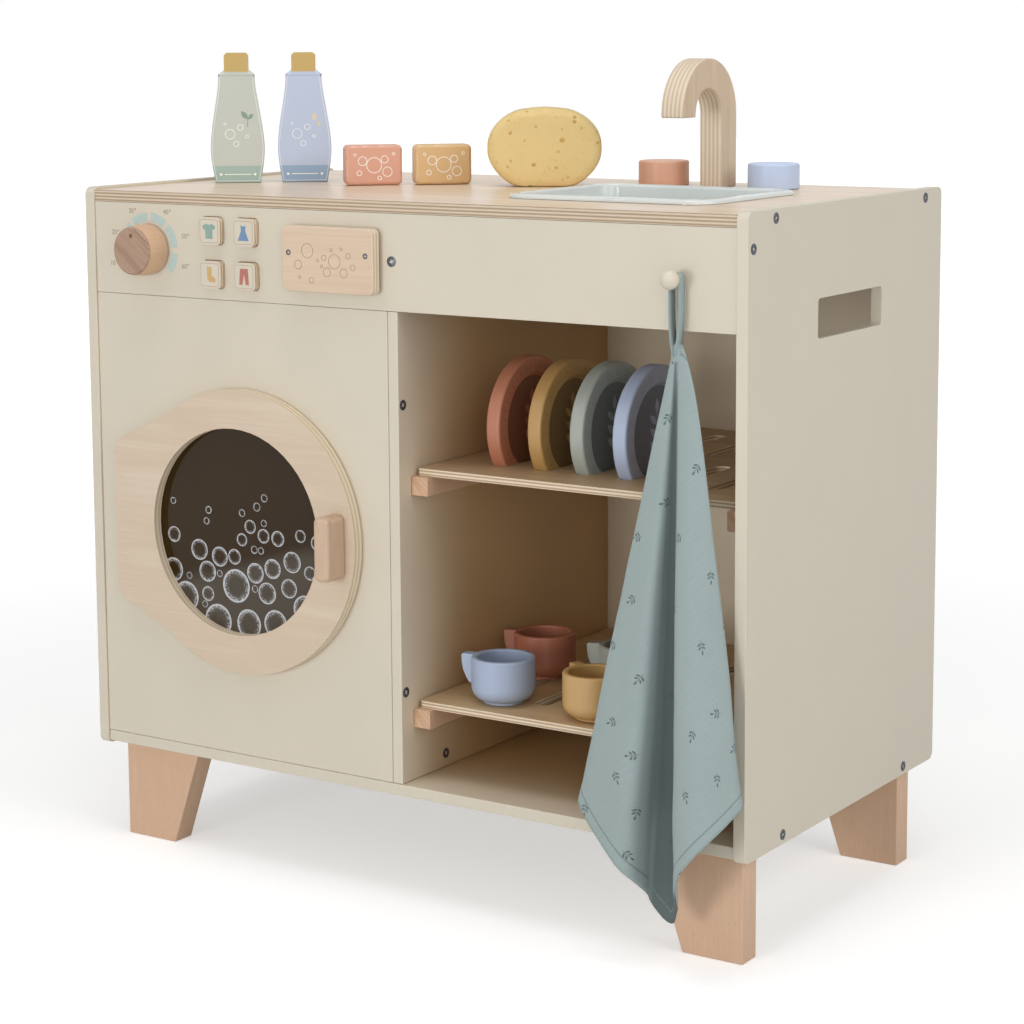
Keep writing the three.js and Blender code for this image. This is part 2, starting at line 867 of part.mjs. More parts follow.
// Push buttons with a flange behind the fascia, and the holder board with a pocket for each
const flangeFront = boardBack + fitGap;
const flangeBack = flangeFront + buttonFlangeThickness;
const buttonNames = ["button_upper_left", "button_upper_right", "button_lower_left", "button_lower_right"];
buttonPlaces.forEach(([x, z], i) => {
  const stem = facing(
    roundedRectangle(buttonSize, buttonSize, buttonCornerRadius, x, z),
    frontFace - buttonProud,
    flangeBack,
  );
  const flange = block(
    x - flangeSize / 2,
    x + flangeSize / 2,
    flangeFront,
    flangeBack,
    z - flangeSize / 2,
    z + flangeSize / 2,
  );
  piece(buttonNames[i], stem.add(flange), birch);
});
const pocketDepth = buttonFlangeThickness + buttonTravel + fitGap;
const holderFront = boardBack + fitGap;
let holderBody = block(
  buttonGroupX - holderHalf,
  buttonGroupX + holderHalf,
  holderFront,
  holderFront + pocketDepth + buttonHolderWall,
  fasciaMiddle - holderHalf,
  fasciaMiddle + holderHalf,
);
for (const [x, z] of buttonPlaces) {
  holderBody = holderBody.subtract(
    block(
      x - pocketSize / 2,
      x + pocketSize / 2,
      holderFront - cutOverrun,
      holderFront + pocketDepth,
      z - pocketSize / 2,
      z + pocketSize / 2,
    ),
  );
}
piece("button_holder", holderBody, birch);

// Soap drawer: front, box and the open housing that it runs in
const drawerBack = frontFace - drawerStandOff;
const drawerFrontFace = drawerBack - drawerFrontThickness;
piece(
  "drawer_front",
  facing(
    roundedRectangle(drawerFrontWidth, drawerFrontHeight, drawerCornerRadius, drawerCentreX, fasciaMiddle),
    drawerFrontFace,
    drawerBack,
  ),
  birch,
);
const boxLeft = drawerCentreX - drawerBoxWidth / 2;
const boxRight = drawerCentreX + drawerBoxWidth / 2;
const boxLow = fasciaMiddle - drawerBoxHeight / 2;
const boxHigh = fasciaMiddle + drawerBoxHeight / 2;
const boxFront = drawerBack + fitGap;
const boxBack = boxFront + drawerBoxDepth;
piece(
  "drawer_box",
  block(boxLeft, boxRight, boxFront, boxBack, boxLow, boxHigh).subtract(
    block(
      boxLeft + drawerWall,
      boxRight - drawerWall,
      boxFront + drawerWall,
      boxBack - drawerWall,
      boxLow + drawerWall,
      boxHigh + cutOverrun,
    ),
  ),
  birch,
);
const housingGap = drawerRunningGap;
const housingFront = boardBack + fitGap;
const housingBack = boxBack + drawerBackGap + drawerHousingWall;
piece(
  "drawer_housing",
  block(
    boxLeft - housingGap - drawerHousingWall,
    boxRight + housingGap + drawerHousingWall,
    housingFront,
    housingBack,
    boxLow - housingGap - drawerHousingWall,
    boxHigh,
  ).subtract(
    block(
      boxLeft - housingGap,
      boxRight + housingGap,
      housingFront - cutOverrun,
      housingBack - drawerHousingWall,
      boxLow - housingGap,
      boxHigh + cutOverrun,
    ),
  ),
  birch,
);

// Towel peg: a ball on a stem that is let into the fascia
const pegBallY = frontFace - pegReach;
const pegBody = solid(new THREE.SphereGeometry(pegBallRadius, dowelSides, pinSides))
  .translate([pegX, pegBallY, fasciaMiddle])
  .add(barFacing(pegStemRadius, pegX, fasciaMiddle, pegBallY, frontFace + pegRoot, barSides));
piece("towel_peg", pegBody, creamPaint);

// Sink basin: a bowl with a flat rolled rim that rests on the worktop
const rimLow = worktopTop + fitGap;
const rimHigh = rimLow + sinkRimHeight;
const bowlFloor = rimHigh - sinkBowlDepth;
function bowlLoft(inset, z0, z1) {
  const top = roundedRectangle(
    bowlWidth - 2 * inset,
    bowlLength - 2 * inset,
    Math.max(bowlCornerRadius - inset, sinkWall),
    sinkX,
    sinkY,
  );
  const taper = (bowlWidth - 2 * inset - 2 * sinkDraft) / (bowlWidth - 2 * inset);
  return upright(top, z0, z1).warp((v) => {
    const depthShare = (z1 - v[2]) / (z1 - z0);
    const scale = 1 - (1 - taper) * depthShare;
    v[0] = sinkX + (v[0] - sinkX) * scale;
    v[1] = sinkY + (v[1] - sinkY) * scale;
  });
}
const rimShape = roundedRectangle(sinkWidth, sinkDepth, sinkCornerRadius, sinkX, sinkY);
const rimTop = roundedRectangle(
  sinkWidth - 2 * sinkRimRound,
  sinkDepth - 2 * sinkRimRound,
  sinkCornerRadius - sinkRimRound,
  sinkX,
  sinkY,
);
const sinkBody = upright(rimShape, rimLow, rimHigh - sinkRimRound)
  .add(upright(rimTop, rimLow, rimHigh))
  .add(bowlLoft(0, bowlFloor - sinkWall, rimLow + sinkRimHeight / 2))
  .subtract(bowlLoft(sinkWall, bowlFloor, rimHigh + cutOverrun));
piece("sink_basin", sinkBody, whitePlastic);

// Faucet, cut from thick plywood as an arch in the plane across the unit
function faucetOutline() {
  const shape = new THREE.Shape();
  const postFront = -faucetPostWidth / 2;
  const postBack = faucetPostWidth / 2;
  const innerCentre = postFront - faucetInnerRadius;
  const spoutFront = innerCentre - faucetInnerRadius - faucetSpoutWidth;
  const outerRadius = (postBack - spoutFront) / 2;
  const outerCentre = (postBack + spoutFront) / 2;
  const base = worktopTop + fitGap;
  const springing = base + faucetStraight;
  shape.moveTo(postFront, base);
  shape.lineTo(postBack, base);
  shape.lineTo(postBack, springing);
  shape.absarc(outerCentre, springing, outerRadius, 0, Math.PI, false);
  shape.lineTo(spoutFront, springing - faucetSpoutDrop);
  shape.lineTo(spoutFront + faucetSpoutWidth, springing - faucetSpoutDrop);
  shape.lineTo(spoutFront + faucetSpoutWidth, springing);
  shape.absarc(innerCentre, springing, faucetInnerRadius, Math.PI, 0, true);
  shape.closePath();
  return shape;
}
function dowelHole(x, y) {
  const top = worktopTop + dowelInsert + fitGap;
  return drum(dowelRadius + fitGap, worktopTop - cutOverrun, top, dowelSides).translate([x, y, 0]);
}
function dowel(x, y) {
  const collarTop = worktopUnder - fitGap;
  return drum(dowelRadius, collarTop - collarThickness, worktopTop + dowelInsert, dowelSides)
    .add(drum(collarRadius, collarTop - collarThickness, collarTop, dowelSides))
    .translate([x, y, 0]);
}
const faucetHalf = faucetThickness / 2;
const faucetBody = sideways(faucetOutline(), -faucetHalf, faucetHalf, archSteps)
  .translate([faucetX, faucetY, 0])
  .subtract(dowelHole(faucetX, faucetY));
piece("faucet", faucetBody, birch);
piece("faucet_dowel", dowel(faucetX, faucetY), beech);

// Tap knobs, turned blocks on dowels
function tap(side, x, material) {
  const base = worktopTop + fitGap;
  const body = turned([
    [0, 0],
    [tapRadius - tapEdgeRound, 0],
    [tapRadius, tapEdgeRound],
    [tapRadius, tapHeight - tapEdgeRound],
    [tapRadius - tapEdgeRound, tapHeight],
    [0, tapHeight],
  ]).translate([x, faucetY, base]);
  piece("tap_knob_" + side, body.subtract(dowelHole(x, faucetY)), material);
  piece("tap_dowel_" + side, dowel(x, faucetY), beech);
}
tap("left", faucetX - tapSpread, terracotta);
tap("right", faucetX + tapSpread, skyBlue);

// Places on the worktop, as shares of its clear width and depth
function onWorktop(acrossShare, backShare) {
  return [
    boardLeft + (boardRight - boardLeft) * acrossShare,
    frontFace + (rearEdge - frontFace) * backShare,
    worktopTop + fitGap,
  ];
}

// Bottles, cut from board with a waisted outline: half width and height as shares of the bottle's
function bottleOutline() {
  const capHalfShare = 0.224;
  const capTopRadiusShare = 0.02;
  const neckLowShare = 0.868;
  const shoulderHalfShare = 0.335;
  const shoulderShare = 0.83;
  const waistHalfShare = 0.35;
  const waistShare = 0.72;
  const bellyHalfShare = 0.5;
  const bellyShare = 0.29;
  const footHalfShare = 0.42;
  const w = bottleWidth;
  const h = bottleHeight;
  const side = [
    [footHalfShare, 0],
    [bellyHalfShare, bellyShare],
    [waistHalfShare, waistShare],
    [shoulderHalfShare, shoulderShare],
  ];
  const right = side.map(([x, z]) => new THREE.Vector2(x * w, z * h));
  const left = right.map((p) => new THREE.Vector2(-p.x, p.y)).reverse();
  const shape = new THREE.Shape();
  shape.moveTo(right[0].x, right[0].y);
  shape.splineThru(right.slice(1));
  shape.lineTo(capHalfShare * w, neckLowShare * h);
  shape.lineTo(capHalfShare * w, h * (1 - capTopRadiusShare));
  shape.lineTo(capHalfShare * w - h * capTopRadiusShare, h);
  shape.lineTo(-capHalfShare * w + h * capTopRadiusShare, h);
  shape.lineTo(-capHalfShare * w, h * (1 - capTopRadiusShare));
  shape.lineTo(-capHalfShare * w, neckLowShare * h);
  shape.lineTo(left[0].x, left[0].y);
  shape.splineThru(left.slice(1));
  shape.closePath();
  return shape;
}
function bottle(name, place, material) {
  const body = facing(bottleOutline(), -bottleThickness / 2, bottleThickness / 2, outlineSteps);
  piece(name, body.rotate([0, 0, bottleAngle]).translate(place), material);
}
const softenerShares = [0.0765, 0.399];
const detergentShares = [0.1497, 0.511];
bottle("bottle_softener", onWorktop(...softenerShares), sage);
bottle("bottle_detergent", onWorktop(...detergentShares), skyBlue);

// Soap blocks
function soap(name, place, material) {
  const outline = roundedRectangle(soapWidth, soapHeight, soapCornerRadius, 0, soapHeight / 2);
  const body = roundedBoard(outline, soapThickness, soapEdgeRound);
  piece(name, body.rotate([0, 0, soapAngle]).translate(place), material);
}
const leftSoapShares = [0.2807, 0.483];
const rightSoapShares = [0.3572, 0.593];
soap("soap_block_left", onWorktop(...leftSoapShares), terracotta);
soap("soap_block_right", onWorktop(...rightSoapShares), mustard);

// Sponge: an oval block with a flat where it stands
function spongeOutline() {
  const cornerShare = 0.47;
  return roundedRectangle(
    spongeWidth,
    spongeHeight + spongeSquash,
    spongeHeight * cornerShare,
    0,
    spongeHeight / 2 - spongeSquash / 2,
  );
}
const spongeShares = [0.507, 0.655];
const spongePlace = onWorktop(...spongeShares);
const spongeBody = roundedBoard(spongeOutline(), spongeThickness, spongeEdgeRound, outlineSteps).subtract(
  block(-spongeWidth, spongeWidth, -spongeThickness, spongeThickness, -spongeHeight, 0),
);
piece("sponge", spongeBody.rotate([0, 0, spongeAngle]).translate(spongePlace), foam);

// Plates: discs with a raised rim, standing in the front slots of the upper shelf.
// A plate sinks into its slot until its edge meets the round slot ends
function plateRise(radius, fromMiddle) {
  const halfSlot = slotLength / 2 - slotEndRadius + Math.sqrt(slotEndRadius ** 2 - fromMiddle ** 2);
  return Math.sqrt(radius ** 2 - (halfSlot - slotEndClearance) ** 2);
}
const plateHeight =
  upperShelfHeight +
  Math.max(
    plateRise(plateRadius, plateThickness / 2 - plateEdgeRound),
    plateRise(plateRadius - plateEdgeRound, plateThickness / 2),
  );
function plate(name, column, material) {
  const rimRadius = plateRadius - plateRimWidth;
  const round = plateEdgeRound;
  const body = turned(
    [
      [0, 0],
      [plateRadius - round, 0],
      [plateRadius, round],
      [plateRadius, plateThickness - round],
      [plateRadius - round, plateThickness],
      [rimRadius, plateThickness],
      [rimRadius - plateRecessDepth, plateThickness - plateRecessDepth],
      [0, plateThickness - plateRecessDepth],
    ],
    plateSides,
  );
  const place = [slotColumns[column] - plateThickness / 2, slotRows[0], plateHeight];
  piece(name, body.rotate([0, 90, 0]).translate(place), material);
}
plate("plate_terracotta", 0, terracotta);
plate("plate_mustard", 1, mustard);
plate("plate_sage", 2, sage);
plate("plate_blue", 3, skyBlue);

// Cups on the lower shelf, each with an ear flush with its rim
const cupBendSteps = 3;
const cupEarBendShare = 0.7;
function cup(name, fromDivider, fromFront, earAngle, material) {
  const inside = cupRadius - cupWall;
  const round = cupBottomRound;
  const low = cupFootHeight;
  const softening = cupWall / 4;
  const bendPoints = [];
  for (let i = 0; i <= cupBendSteps; i += 1) {
    const angle = ((i / cupBendSteps) * Math.PI) / 2;
    bendPoints.push([cupRadius - round + round * Math.sin(angle), low + round - round * Math.cos(angle)]);
  }
  const profile = [
    [0, 0],
    [cupFootRadius - softening, 0],
    [cupFootRadius, softening],
    [cupFootRadius, low],
    ...bendPoints.filter(([radius]) => radius > cupFootRadius),
    [cupRadius, cupHeight - softening],
    [cupRadius - softening, cupHeight],
    [inside + softening, cupHeight],
    [inside, cupHeight - softening],
    [inside, cupFloor + round / 2],
    [inside - round / 2, cupFloor],
    [0, cupFloor],
  ];
  let body = turned(profile, barSides);
  const ear = new THREE.Shape();
  const root = cupRadius - cupWall / 2;
  const reach = cupRadius + cupEarReach;
  ear.moveTo(root, cupHeight);
  ear.lineTo(reach - softening, cupHeight);
  ear.lineTo(reach, cupHeight - softening);
  ear.quadraticCurveTo(reach, cupHeight - cupEarHeight * cupEarBendShare, root, cupHeight - cupEarHeight);
  ear.closePath();
  const earBody = facing(ear, -cupEarThickness / 2, cupEarThickness / 2, outlineSteps);
  body = body.add(earBody).rotate([0, 0, earAngle]);
  const place = [dividerRight + fromDivider, shelfFront + fromFront, lowerShelfHeight + fitGap];
  piece(name, body.translate(place), material);
}
cup("cup_blue", blueCupFromDivider, blueCupFromFront, blueCupAngle, skyBlue);
cup("cup_terracotta", terracottaCupFromDivider, terracottaCupFromFront, terracottaCupAngle, terracotta);
cup("cup_mustard", mustardCupFromDivider, mustardCupFromFront, mustardCupAngle, mustard);
cup("cup_sage", sageCupFromDivider, sageCupFromFront, sageCupAngle, sage);

// Towel: the loop of tape round the peg, and the cloth below it in hanging folds
const tapeMiddleY = (frontFace + pegBallY + pegBallRadius) / 2;
function capsuleOutline(topRadius, lowRadius) {
  const tilt = Math.asin((topRadius - lowRadius) / loopDrop);
  const shape = new THREE.Shape();
  shape.absarc(0, 0, topRadius, -tilt, Math.PI + tilt, false);
  shape.absarc(0, -loopDrop, lowRadius, Math.PI + tilt, 2 * Math.PI - tilt, false);
  shape.closePath();
  return shape;
}
const loopInner = pegStemRadius + fitGap;
const tapeHalf = Math.min(loopTapeWidth, pegReach - pegBallRadius - 2 * fitGap) / 2;
const loopBody = facing(
  capsuleOutline(loopInner + loopTapeThickness, loopEyeRadius + loopTapeThickness),
  tapeMiddleY - tapeHalf,
  tapeMiddleY + tapeHalf,
  outlineSteps,
).subtract(
  facing(
    capsuleOutline(loopInner, loopEyeRadius),
    tapeMiddleY - tapeHalf - cutOverrun,
    tapeMiddleY + tapeHalf + cutOverrun,
    outlineSteps,
  ),
);
piece("towel_loop", loopBody.translate([pegX, 0, fasciaMiddle]), cloth);

const neckHeight = fasciaMiddle - loopDrop - loopEyeRadius - loopTapeThickness - fitGap;
const towelMiddleY = frontFace - towelStandOff;

// A point of the cloth's middle surface: across from 0 to 1, down from 0 at the neck to 1 at the hem
function clothPoint(across, down) {
  const spread = down ** towelFlareShare;
  const leftNow = -towelNeckWidth / 2 + (towelNeckWidth / 2 - towelLeftReach) * spread;
  const rightNow = towelNeckWidth / 2 + (towelRightReach - towelNeckWidth / 2) * spread;
  let hem;
  if (across < towelTipShare) {
    hem = towelLeftHeight + (towelTipHeight - towelLeftHeight) * (across / towelTipShare);
  } else {
    const back = (across - towelTipShare) / (1 - towelTipShare);
    hem = towelTipHeight + (towelRightHeight - towelTipHeight) * back;
  }
  const fold = -Math.cos(across * towelFoldCount * 2 * Math.PI);
  const foldNow = towelFoldDepth * (towelFoldAtNeckShare + (1 - towelFoldAtNeckShare) * spread);
  const lean = Math.min(1, down / towelLeanShare);
  return [
    pegX + leftNow + (rightNow - leftNow) * across,
    tapeMiddleY + (towelMiddleY - tapeMiddleY) * lean + fold * foldNow,
    neckHeight + (hem - neckHeight) * down,
  ];
}
function clothSolid() {
  const positions = [];
  const index = [];
  const stride = towelColumns + 1;
  const sheet = stride * (towelRows + 1);
  for (const side of [-1, 1]) {
    for (let r = 0; r <= towelRows; r += 1) {
      for (let c = 0; c <= towelColumns; c += 1) {
        const [x, y, z] = clothPoint(c / towelColumns, r / towelRows);
        positions.push(x, y + (side * towelThickness) / 2, z);
      }
    }
  }
  const quad = (a, b, c, d) => index.push(a, b, c, a, c, d);
  for (let r = 0; r < towelRows; r += 1) {
    for (let c = 0; c < towelColumns; c += 1) {
      const i = r * stride + c;
      quad(i, i + stride, i + stride + 1, i + 1);
      quad(sheet + i, sheet + i + 1, sheet + i + stride + 1, sheet + i + stride);
    }
  }
  for (let r = 0; r < towelRows; r += 1) {
    const left = r * stride;
    const right = left + towelColumns;
    quad(left, sheet + left, sheet + left + stride, left + stride);
    quad(right, right + stride, sheet + right + stride, sheet + right);
  }
  const hemStart = towelRows * stride;
  for (let c = 0; c < towelColumns; c += 1) {
    quad(c, c + 1, sheet + c + 1, sheet + c);
    quad(hemStart + c, sheet + hemStart + c, sheet + hemStart + c + 1, hemStart + c + 1);
  }
  const geometry = new THREE.BufferGeometry();
  geometry.setAttribute("position", new THREE.Float32BufferAttribute(positions, 3));
  geometry.setIndex(index);
  return solid(geometry);
}
piece("towel", clothSolid(), cloth);

// The origin lies on the floor under the middle of everything, knob and grip included
const reach = new THREE.Box3().setFromObject(unit);
unit.position.y = -(reach.min.y + reach.max.y) / 2;

export default unit;
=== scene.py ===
# %% [markdown]
# # A wooden toy washing machine
# This lesson dresses a play laundry unit: a washer with a round door on the left, an open bay with
# plates and cups on the right, and a worktop with a sink. The measured solids come first. They fix
# every size and place, so each step below only has to make a piece look like wood, paint or cloth.

# %% Load the solids
import bisect
import json
import math
import random

import bmesh
import bpy
from mathutils import Matrix, Vector, noise
from mathutils.kdtree import KDTree


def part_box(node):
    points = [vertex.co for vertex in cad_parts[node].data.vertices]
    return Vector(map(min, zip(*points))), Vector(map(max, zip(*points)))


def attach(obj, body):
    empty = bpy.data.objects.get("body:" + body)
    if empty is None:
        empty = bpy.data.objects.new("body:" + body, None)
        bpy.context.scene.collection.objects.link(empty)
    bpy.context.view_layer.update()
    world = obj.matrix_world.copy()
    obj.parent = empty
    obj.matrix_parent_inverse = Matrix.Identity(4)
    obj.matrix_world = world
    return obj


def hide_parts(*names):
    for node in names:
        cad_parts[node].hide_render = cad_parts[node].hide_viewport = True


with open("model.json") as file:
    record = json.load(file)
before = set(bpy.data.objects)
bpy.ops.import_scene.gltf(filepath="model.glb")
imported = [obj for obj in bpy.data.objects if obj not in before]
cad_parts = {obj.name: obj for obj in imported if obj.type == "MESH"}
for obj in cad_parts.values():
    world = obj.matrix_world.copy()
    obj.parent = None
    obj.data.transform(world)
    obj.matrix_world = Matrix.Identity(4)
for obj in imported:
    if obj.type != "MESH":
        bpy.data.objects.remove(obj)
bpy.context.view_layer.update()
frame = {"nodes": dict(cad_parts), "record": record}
scene = bpy.context.scene
MM = 0.001
X, Y, Z = 0, 1, 2
body_of = {node: body for body, nodes in frame["record"]["behaviour"]["bodies"].items() for node in nodes}
slot_of = {part["node"]: part["material_slot"] for part in frame["record"]["subparts"]}


def box_of(node):
    """The low corner, the high corner and the middle of a solid."""
    low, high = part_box(node)
    return low, high, (low + high) / 2


# %% [markdown]
# ## The camera
# The photograph was taken with a long lens, a little from the right and from above. The position,
# the two turns and the small roll were fitted to the corners of the cabinet. The lens is shifted
# down a little, as for a building, so that upright edges stay nearly upright.

# %% Camera
camera_data = bpy.data.cameras.new("camera")
camera_data.lens, camera_data.sensor_width, camera_data.shift_y = 90.330, 36, -0.13
camera_data.clip_start, camera_data.clip_end = 0.1, 30
camera = bpy.data.objects.new("camera", camera_data)
scene.collection.objects.link(camera)
yaw, pitch, roll = (math.radians(a) for a in (33.180, 7.786, -0.333))
camera.matrix_world = (
    Matrix.Translation((1.1150, -1.6843, 0.6635))
    @ Matrix.Rotation(yaw, 4, "Z")
    @ Matrix.Rotation(math.pi / 2 - pitch, 4, "X")
    @ Matrix.Rotation(roll, 4, "Z")
)
scene.camera = camera
print("camera at", tuple(round(c, 3) for c in camera.location))

# %% [markdown]
# ## Wiring a material by hand
# A material is a small graph. `add` adds a node and fills its sockets, with a number or with a
# link. The helpers after it are short names for the nodes that are used most. Colours are written
# as the eye reads them, from 0 to 255, and changed to the linear values that a shader works with.

# %% Helpers for node graphs
def add(tree, kind, inputs=None, **settings):
    made = tree.nodes.new("ShaderNode" + kind)
    for name, value in settings.items():
        setattr(made, name, value)
    for key, value in (inputs or {}).items():
        if isinstance(value, bpy.types.NodeSocket):
            tree.links.new(value, made.inputs[key])
        else:
            made.inputs[key].default_value = value
    return made


def feed(tree, sockets, **values):
    """Links each value to the socket of its name, where Base_Color stands for Base Color."""
    for label, value in values.items():
        tree.links.new(value, sockets[label.replace("_", " ")])


def sums(tree, operation, a, b=0.0, c=0.0):
    return add(tree, "Math", {0: a, 1: b, 2: c}, operation=operation).outputs[0]


def plus(tree, a, b):
    return sums(tree, "ADD", a, b)


def minus(tree, a, b):
    return sums(tree, "SUBTRACT", a, b)


def times(tree, a, b):
    return sums(tree, "MULTIPLY", a, b)


def tint(tree, share, a, b, blend="MIX"):
    """Colour a, turning to b where the share is 1."""
    return add(tree, "Mix", {0: share, 6: a, 7: b}, data_type="RGBA", blend_type=blend).outputs[2]


def between(tree, value, low, high):
    """0 below low, 1 above high, and a smooth step between."""
    span = {"Value": value, "From Min": low, "From Max": high}
    return add(tree, "MapRange", span, interpolation_type="SMOOTHSTEP").outputs[0]


def rgb(red, green, blue):
    """A colour as seen, 0 to 255, as the linear colour of a shader."""
    def linear(c):
        c /= 255
        return c / 12.92 if c <= 0.04045 else ((c + 0.055) / 1.055) ** 2.4

    return (linear(red), linear(green), linear(blue), 1.0)


# %% Where a point lies on a piece
def places(tree):
    return add(tree, "TexCoord").outputs["Object"]


def on_map(tree, name):
    return add(tree, "UVMap", uv_map=name).outputs[0]


def attribute(tree, name):
    return add(tree, "Attribute", attribute_name=name).outputs["Fac"]


def axes(tree, vector):
    return add(tree, "SeparateXYZ", {0: vector}).outputs


def reach_of(tree, vector):
    return add(tree, "VectorMath", {0: vector}, operation="LENGTH").outputs["Value"]


def cloudy(tree, vector, scale, detail=3.0, roughness=0.5, distortion=0.0, place=(0, 0, 0)):
    """Noise. A scale of three numbers pulls it out along the axes."""
    if isinstance(scale, tuple):
        vector = add(tree, "Mapping", {"Vector": vector, "Scale": scale, "Location": place}).outputs[0]
        scale = 1.0
    sockets = {"Vector": vector, "Scale": scale, "Detail": detail, "Roughness": roughness}
    return add(tree, "TexNoise", sockets | {"Distortion": distortion}).outputs[0]


# %% [markdown]
# ## Shared effects as node groups
# Grain, plywood edges, paint and weave are used by many materials. Each is built once as a group
# with named inputs and outputs, so that one change reaches every piece. A group hands out only
# colours, masks and heights. The shader itself stays in the material.

# %% Start a node group
VECTOR, COLOUR, NUMBER = "NodeSocketVector", "NodeSocketColor", "NodeSocketFloat"


def new_group(name, inputs, outputs):
    tree = bpy.data.node_groups.new(name, "ShaderNodeTree")
    for side, sockets in (("INPUT", inputs), ("OUTPUT", outputs)):
        for label, kind in sockets.items():
            tree.interface.new_socket(label, in_out=side, socket_type=kind)
    return tree, tree.nodes.new("NodeGroupInput").outputs, tree.nodes.new("NodeGroupOutput").inputs


def use(tree, group, **inputs):
    return add(tree, "Group", inputs, node_tree=group).outputs


# %% [markdown]
# ### Wood grain
# Grain is noise pulled out along the board. Its first axis runs along the grain, in metres. Three
# layers add up: wide growth bands that wander, fine streaks, and short dark pores.

# %% Group: wood grain
grain, g_in, g_out = new_group(
    "wood grain",
    {"Vector": VECTOR, "Light": COLOUR, "Dark": COLOUR, "Bands": NUMBER, "Pores": NUMBER},
    {"Color": COLOUR, "Height": NUMBER},
)
bands = cloudy(grain, g_in["Vector"], (5, 55, 55), 4, 0.55, 0.8)
streaks = cloudy(grain, g_in["Vector"], (14, 420, 420), 5, 0.6)
pores = cloudy(grain, g_in["Vector"], (160, 1500, 1500), 2, place=(3, 7, 1))
wander = sums(grain, "PINGPONG", times(grain, bands, g_in["Bands"]), 1.0)
mixed = plus(grain, times(grain, wander, 0.5), times(grain, streaks, 0.7))
pore_mask = times(grain, between(grain, pores, 0.62, 0.72), g_in["Pores"])
wood = tint(grain, between(grain, mixed, 0.25, 0.95), g_in["Light"], g_in["Dark"])
wood = tint(grain, pore_mask, wood, g_in["Dark"], "MULTIPLY")
feed(grain, g_out, Color=wood, Height=minus(grain, times(grain, streaks, 0.5), pore_mask))

# %% [markdown]
# ### Plywood edges
# A sawn plywood edge shows its veneers as stripes: every second one is end grain and looks darker.
# The second axis of the vector runs through the thickness, so it only has to be cut into layers.

# %% Group: plywood layers
layers, l_in, l_out = new_group(
    "plywood layers",
    {"Vector": VECTOR, "Ply": NUMBER, "Light": COLOUR, "Dark": COLOUR},
    {"Color": COLOUR, "Height": NUMBER},
)
ripple = cloudy(layers, l_in["Vector"], (30, 200, 200))
depth = sums(layers, "DIVIDE", axes(layers, l_in["Vector"])[1], l_in["Ply"])
wave = sums(layers, "PINGPONG", plus(layers, depth, times(layers, ripple, 0.25)), 1.0)
fleck = cloudy(layers, l_in["Vector"], (900, 900, 900), 3, 0.7)
dark_ply = times(layers, between(layers, wave, 0.42, 0.6), plus(layers, fleck, 0.45))
striped = tint(layers, dark_ply, l_in["Light"], l_in["Dark"])
feed(layers, l_out, Color=striped, Height=minus(layers, 1.0, dark_ply))

# %% [markdown]
# ### Paint and worn edges
# Brushed or rolled paint is never one flat colour: it drifts by a percent or two, and its gloss
# drifts more. On the rounded edges the coat is thin. The edge attribute that the bevels leave on
# the mesh says where that is.

# %% Group: paint
paint, p_in, p_out = new_group(
    "paint",
    {"Vector": VECTOR, "Colour": COLOUR, "Edge": NUMBER, "Wear": NUMBER},
    {"Color": COLOUR, "Roughness": NUMBER, "Height": NUMBER},
)
drift = cloudy(paint, p_in["Vector"], 14.0)
brushed = tint(paint, between(paint, drift, 0.3, 0.7), (0.985, 0.985, 0.985, 1), (1.012, 1.012, 1.012, 1))
coat = tint(paint, 1.0, p_in["Colour"], brushed, "MULTIPLY")
rub = times(paint, between(paint, cloudy(paint, p_in["Vector"], 160.0, 4), 0.4, 0.65), p_in["Edge"])
coat = tint(paint, times(paint, rub, p_in["Wear"]), coat, rgb(244, 232, 214))
gloss_drift = plus(paint, times(paint, drift, 0.18), 0.36)
feed(paint, p_out, Color=coat, Roughness=gloss_drift, Height=cloudy(paint, p_in["Vector"], 1300.0, 2))

# %% [markdown]
# ### Weave
# Plain weave is a chequer of threads going over and under. Each thread is a half sine across its
# width. The vector is the flat cloth in metres, so the weave follows every fold.

# %% Group: weave
weave, w_in, w_out = new_group(
    "weave", {"Vector": VECTOR, "Pitch": NUMBER}, {"Height": NUMBER, "Shade": NUMBER}
)
on_cloth = axes(weave, w_in["Vector"])
warp, weft = (sums(weave, "DIVIDE", on_cloth[i], w_in["Pitch"]) for i in (0, 1))
warp_curve, weft_curve = (
    sums(weave, "SINE", times(weave, sums(weave, "FRACT", t), math.pi)) for t in (warp, weft)
)
steps = plus(weave, sums(weave, "FLOOR", warp), sums(weave, "FLOOR", weft))
over = sums(weave, "FLOORED_MODULO", steps, 2.0)
woven = add(weave, "Mix", {0: over, 2: weft_curve, 3: warp_curve}, data_type="FLOAT").outputs[0]
slub = cloudy(weave, w_in["Vector"], (60, 900, 1))
feed(weave, w_out, Height=woven, Shade=between(weave, slub, 0.25, 0.8))
print("groups:", [g.name for g in bpy.data.node_groups])

# %% [markdown]
# ## Materials
# Every material is one Principled shader. What differs is what feeds it. `start_material` makes
# the shader with the plain numbers on its own sockets, and `bumped` turns a height into a normal.

# %% Material helpers
def start_material(name, **sockets):
    material = bpy.data.materials.new(name)
    material.use_nodes = True
    shader = material.node_tree.nodes["Principled BSDF"].inputs
    for label, value in sockets.items():
        shader[label.replace("_", " ")].default_value = value
    return material, material.node_tree, shader


def bumped(tree, height, strength, distance):
    return add(tree, "Bump", {"Height": height, "Strength": strength, "Distance": distance}).outputs[0]


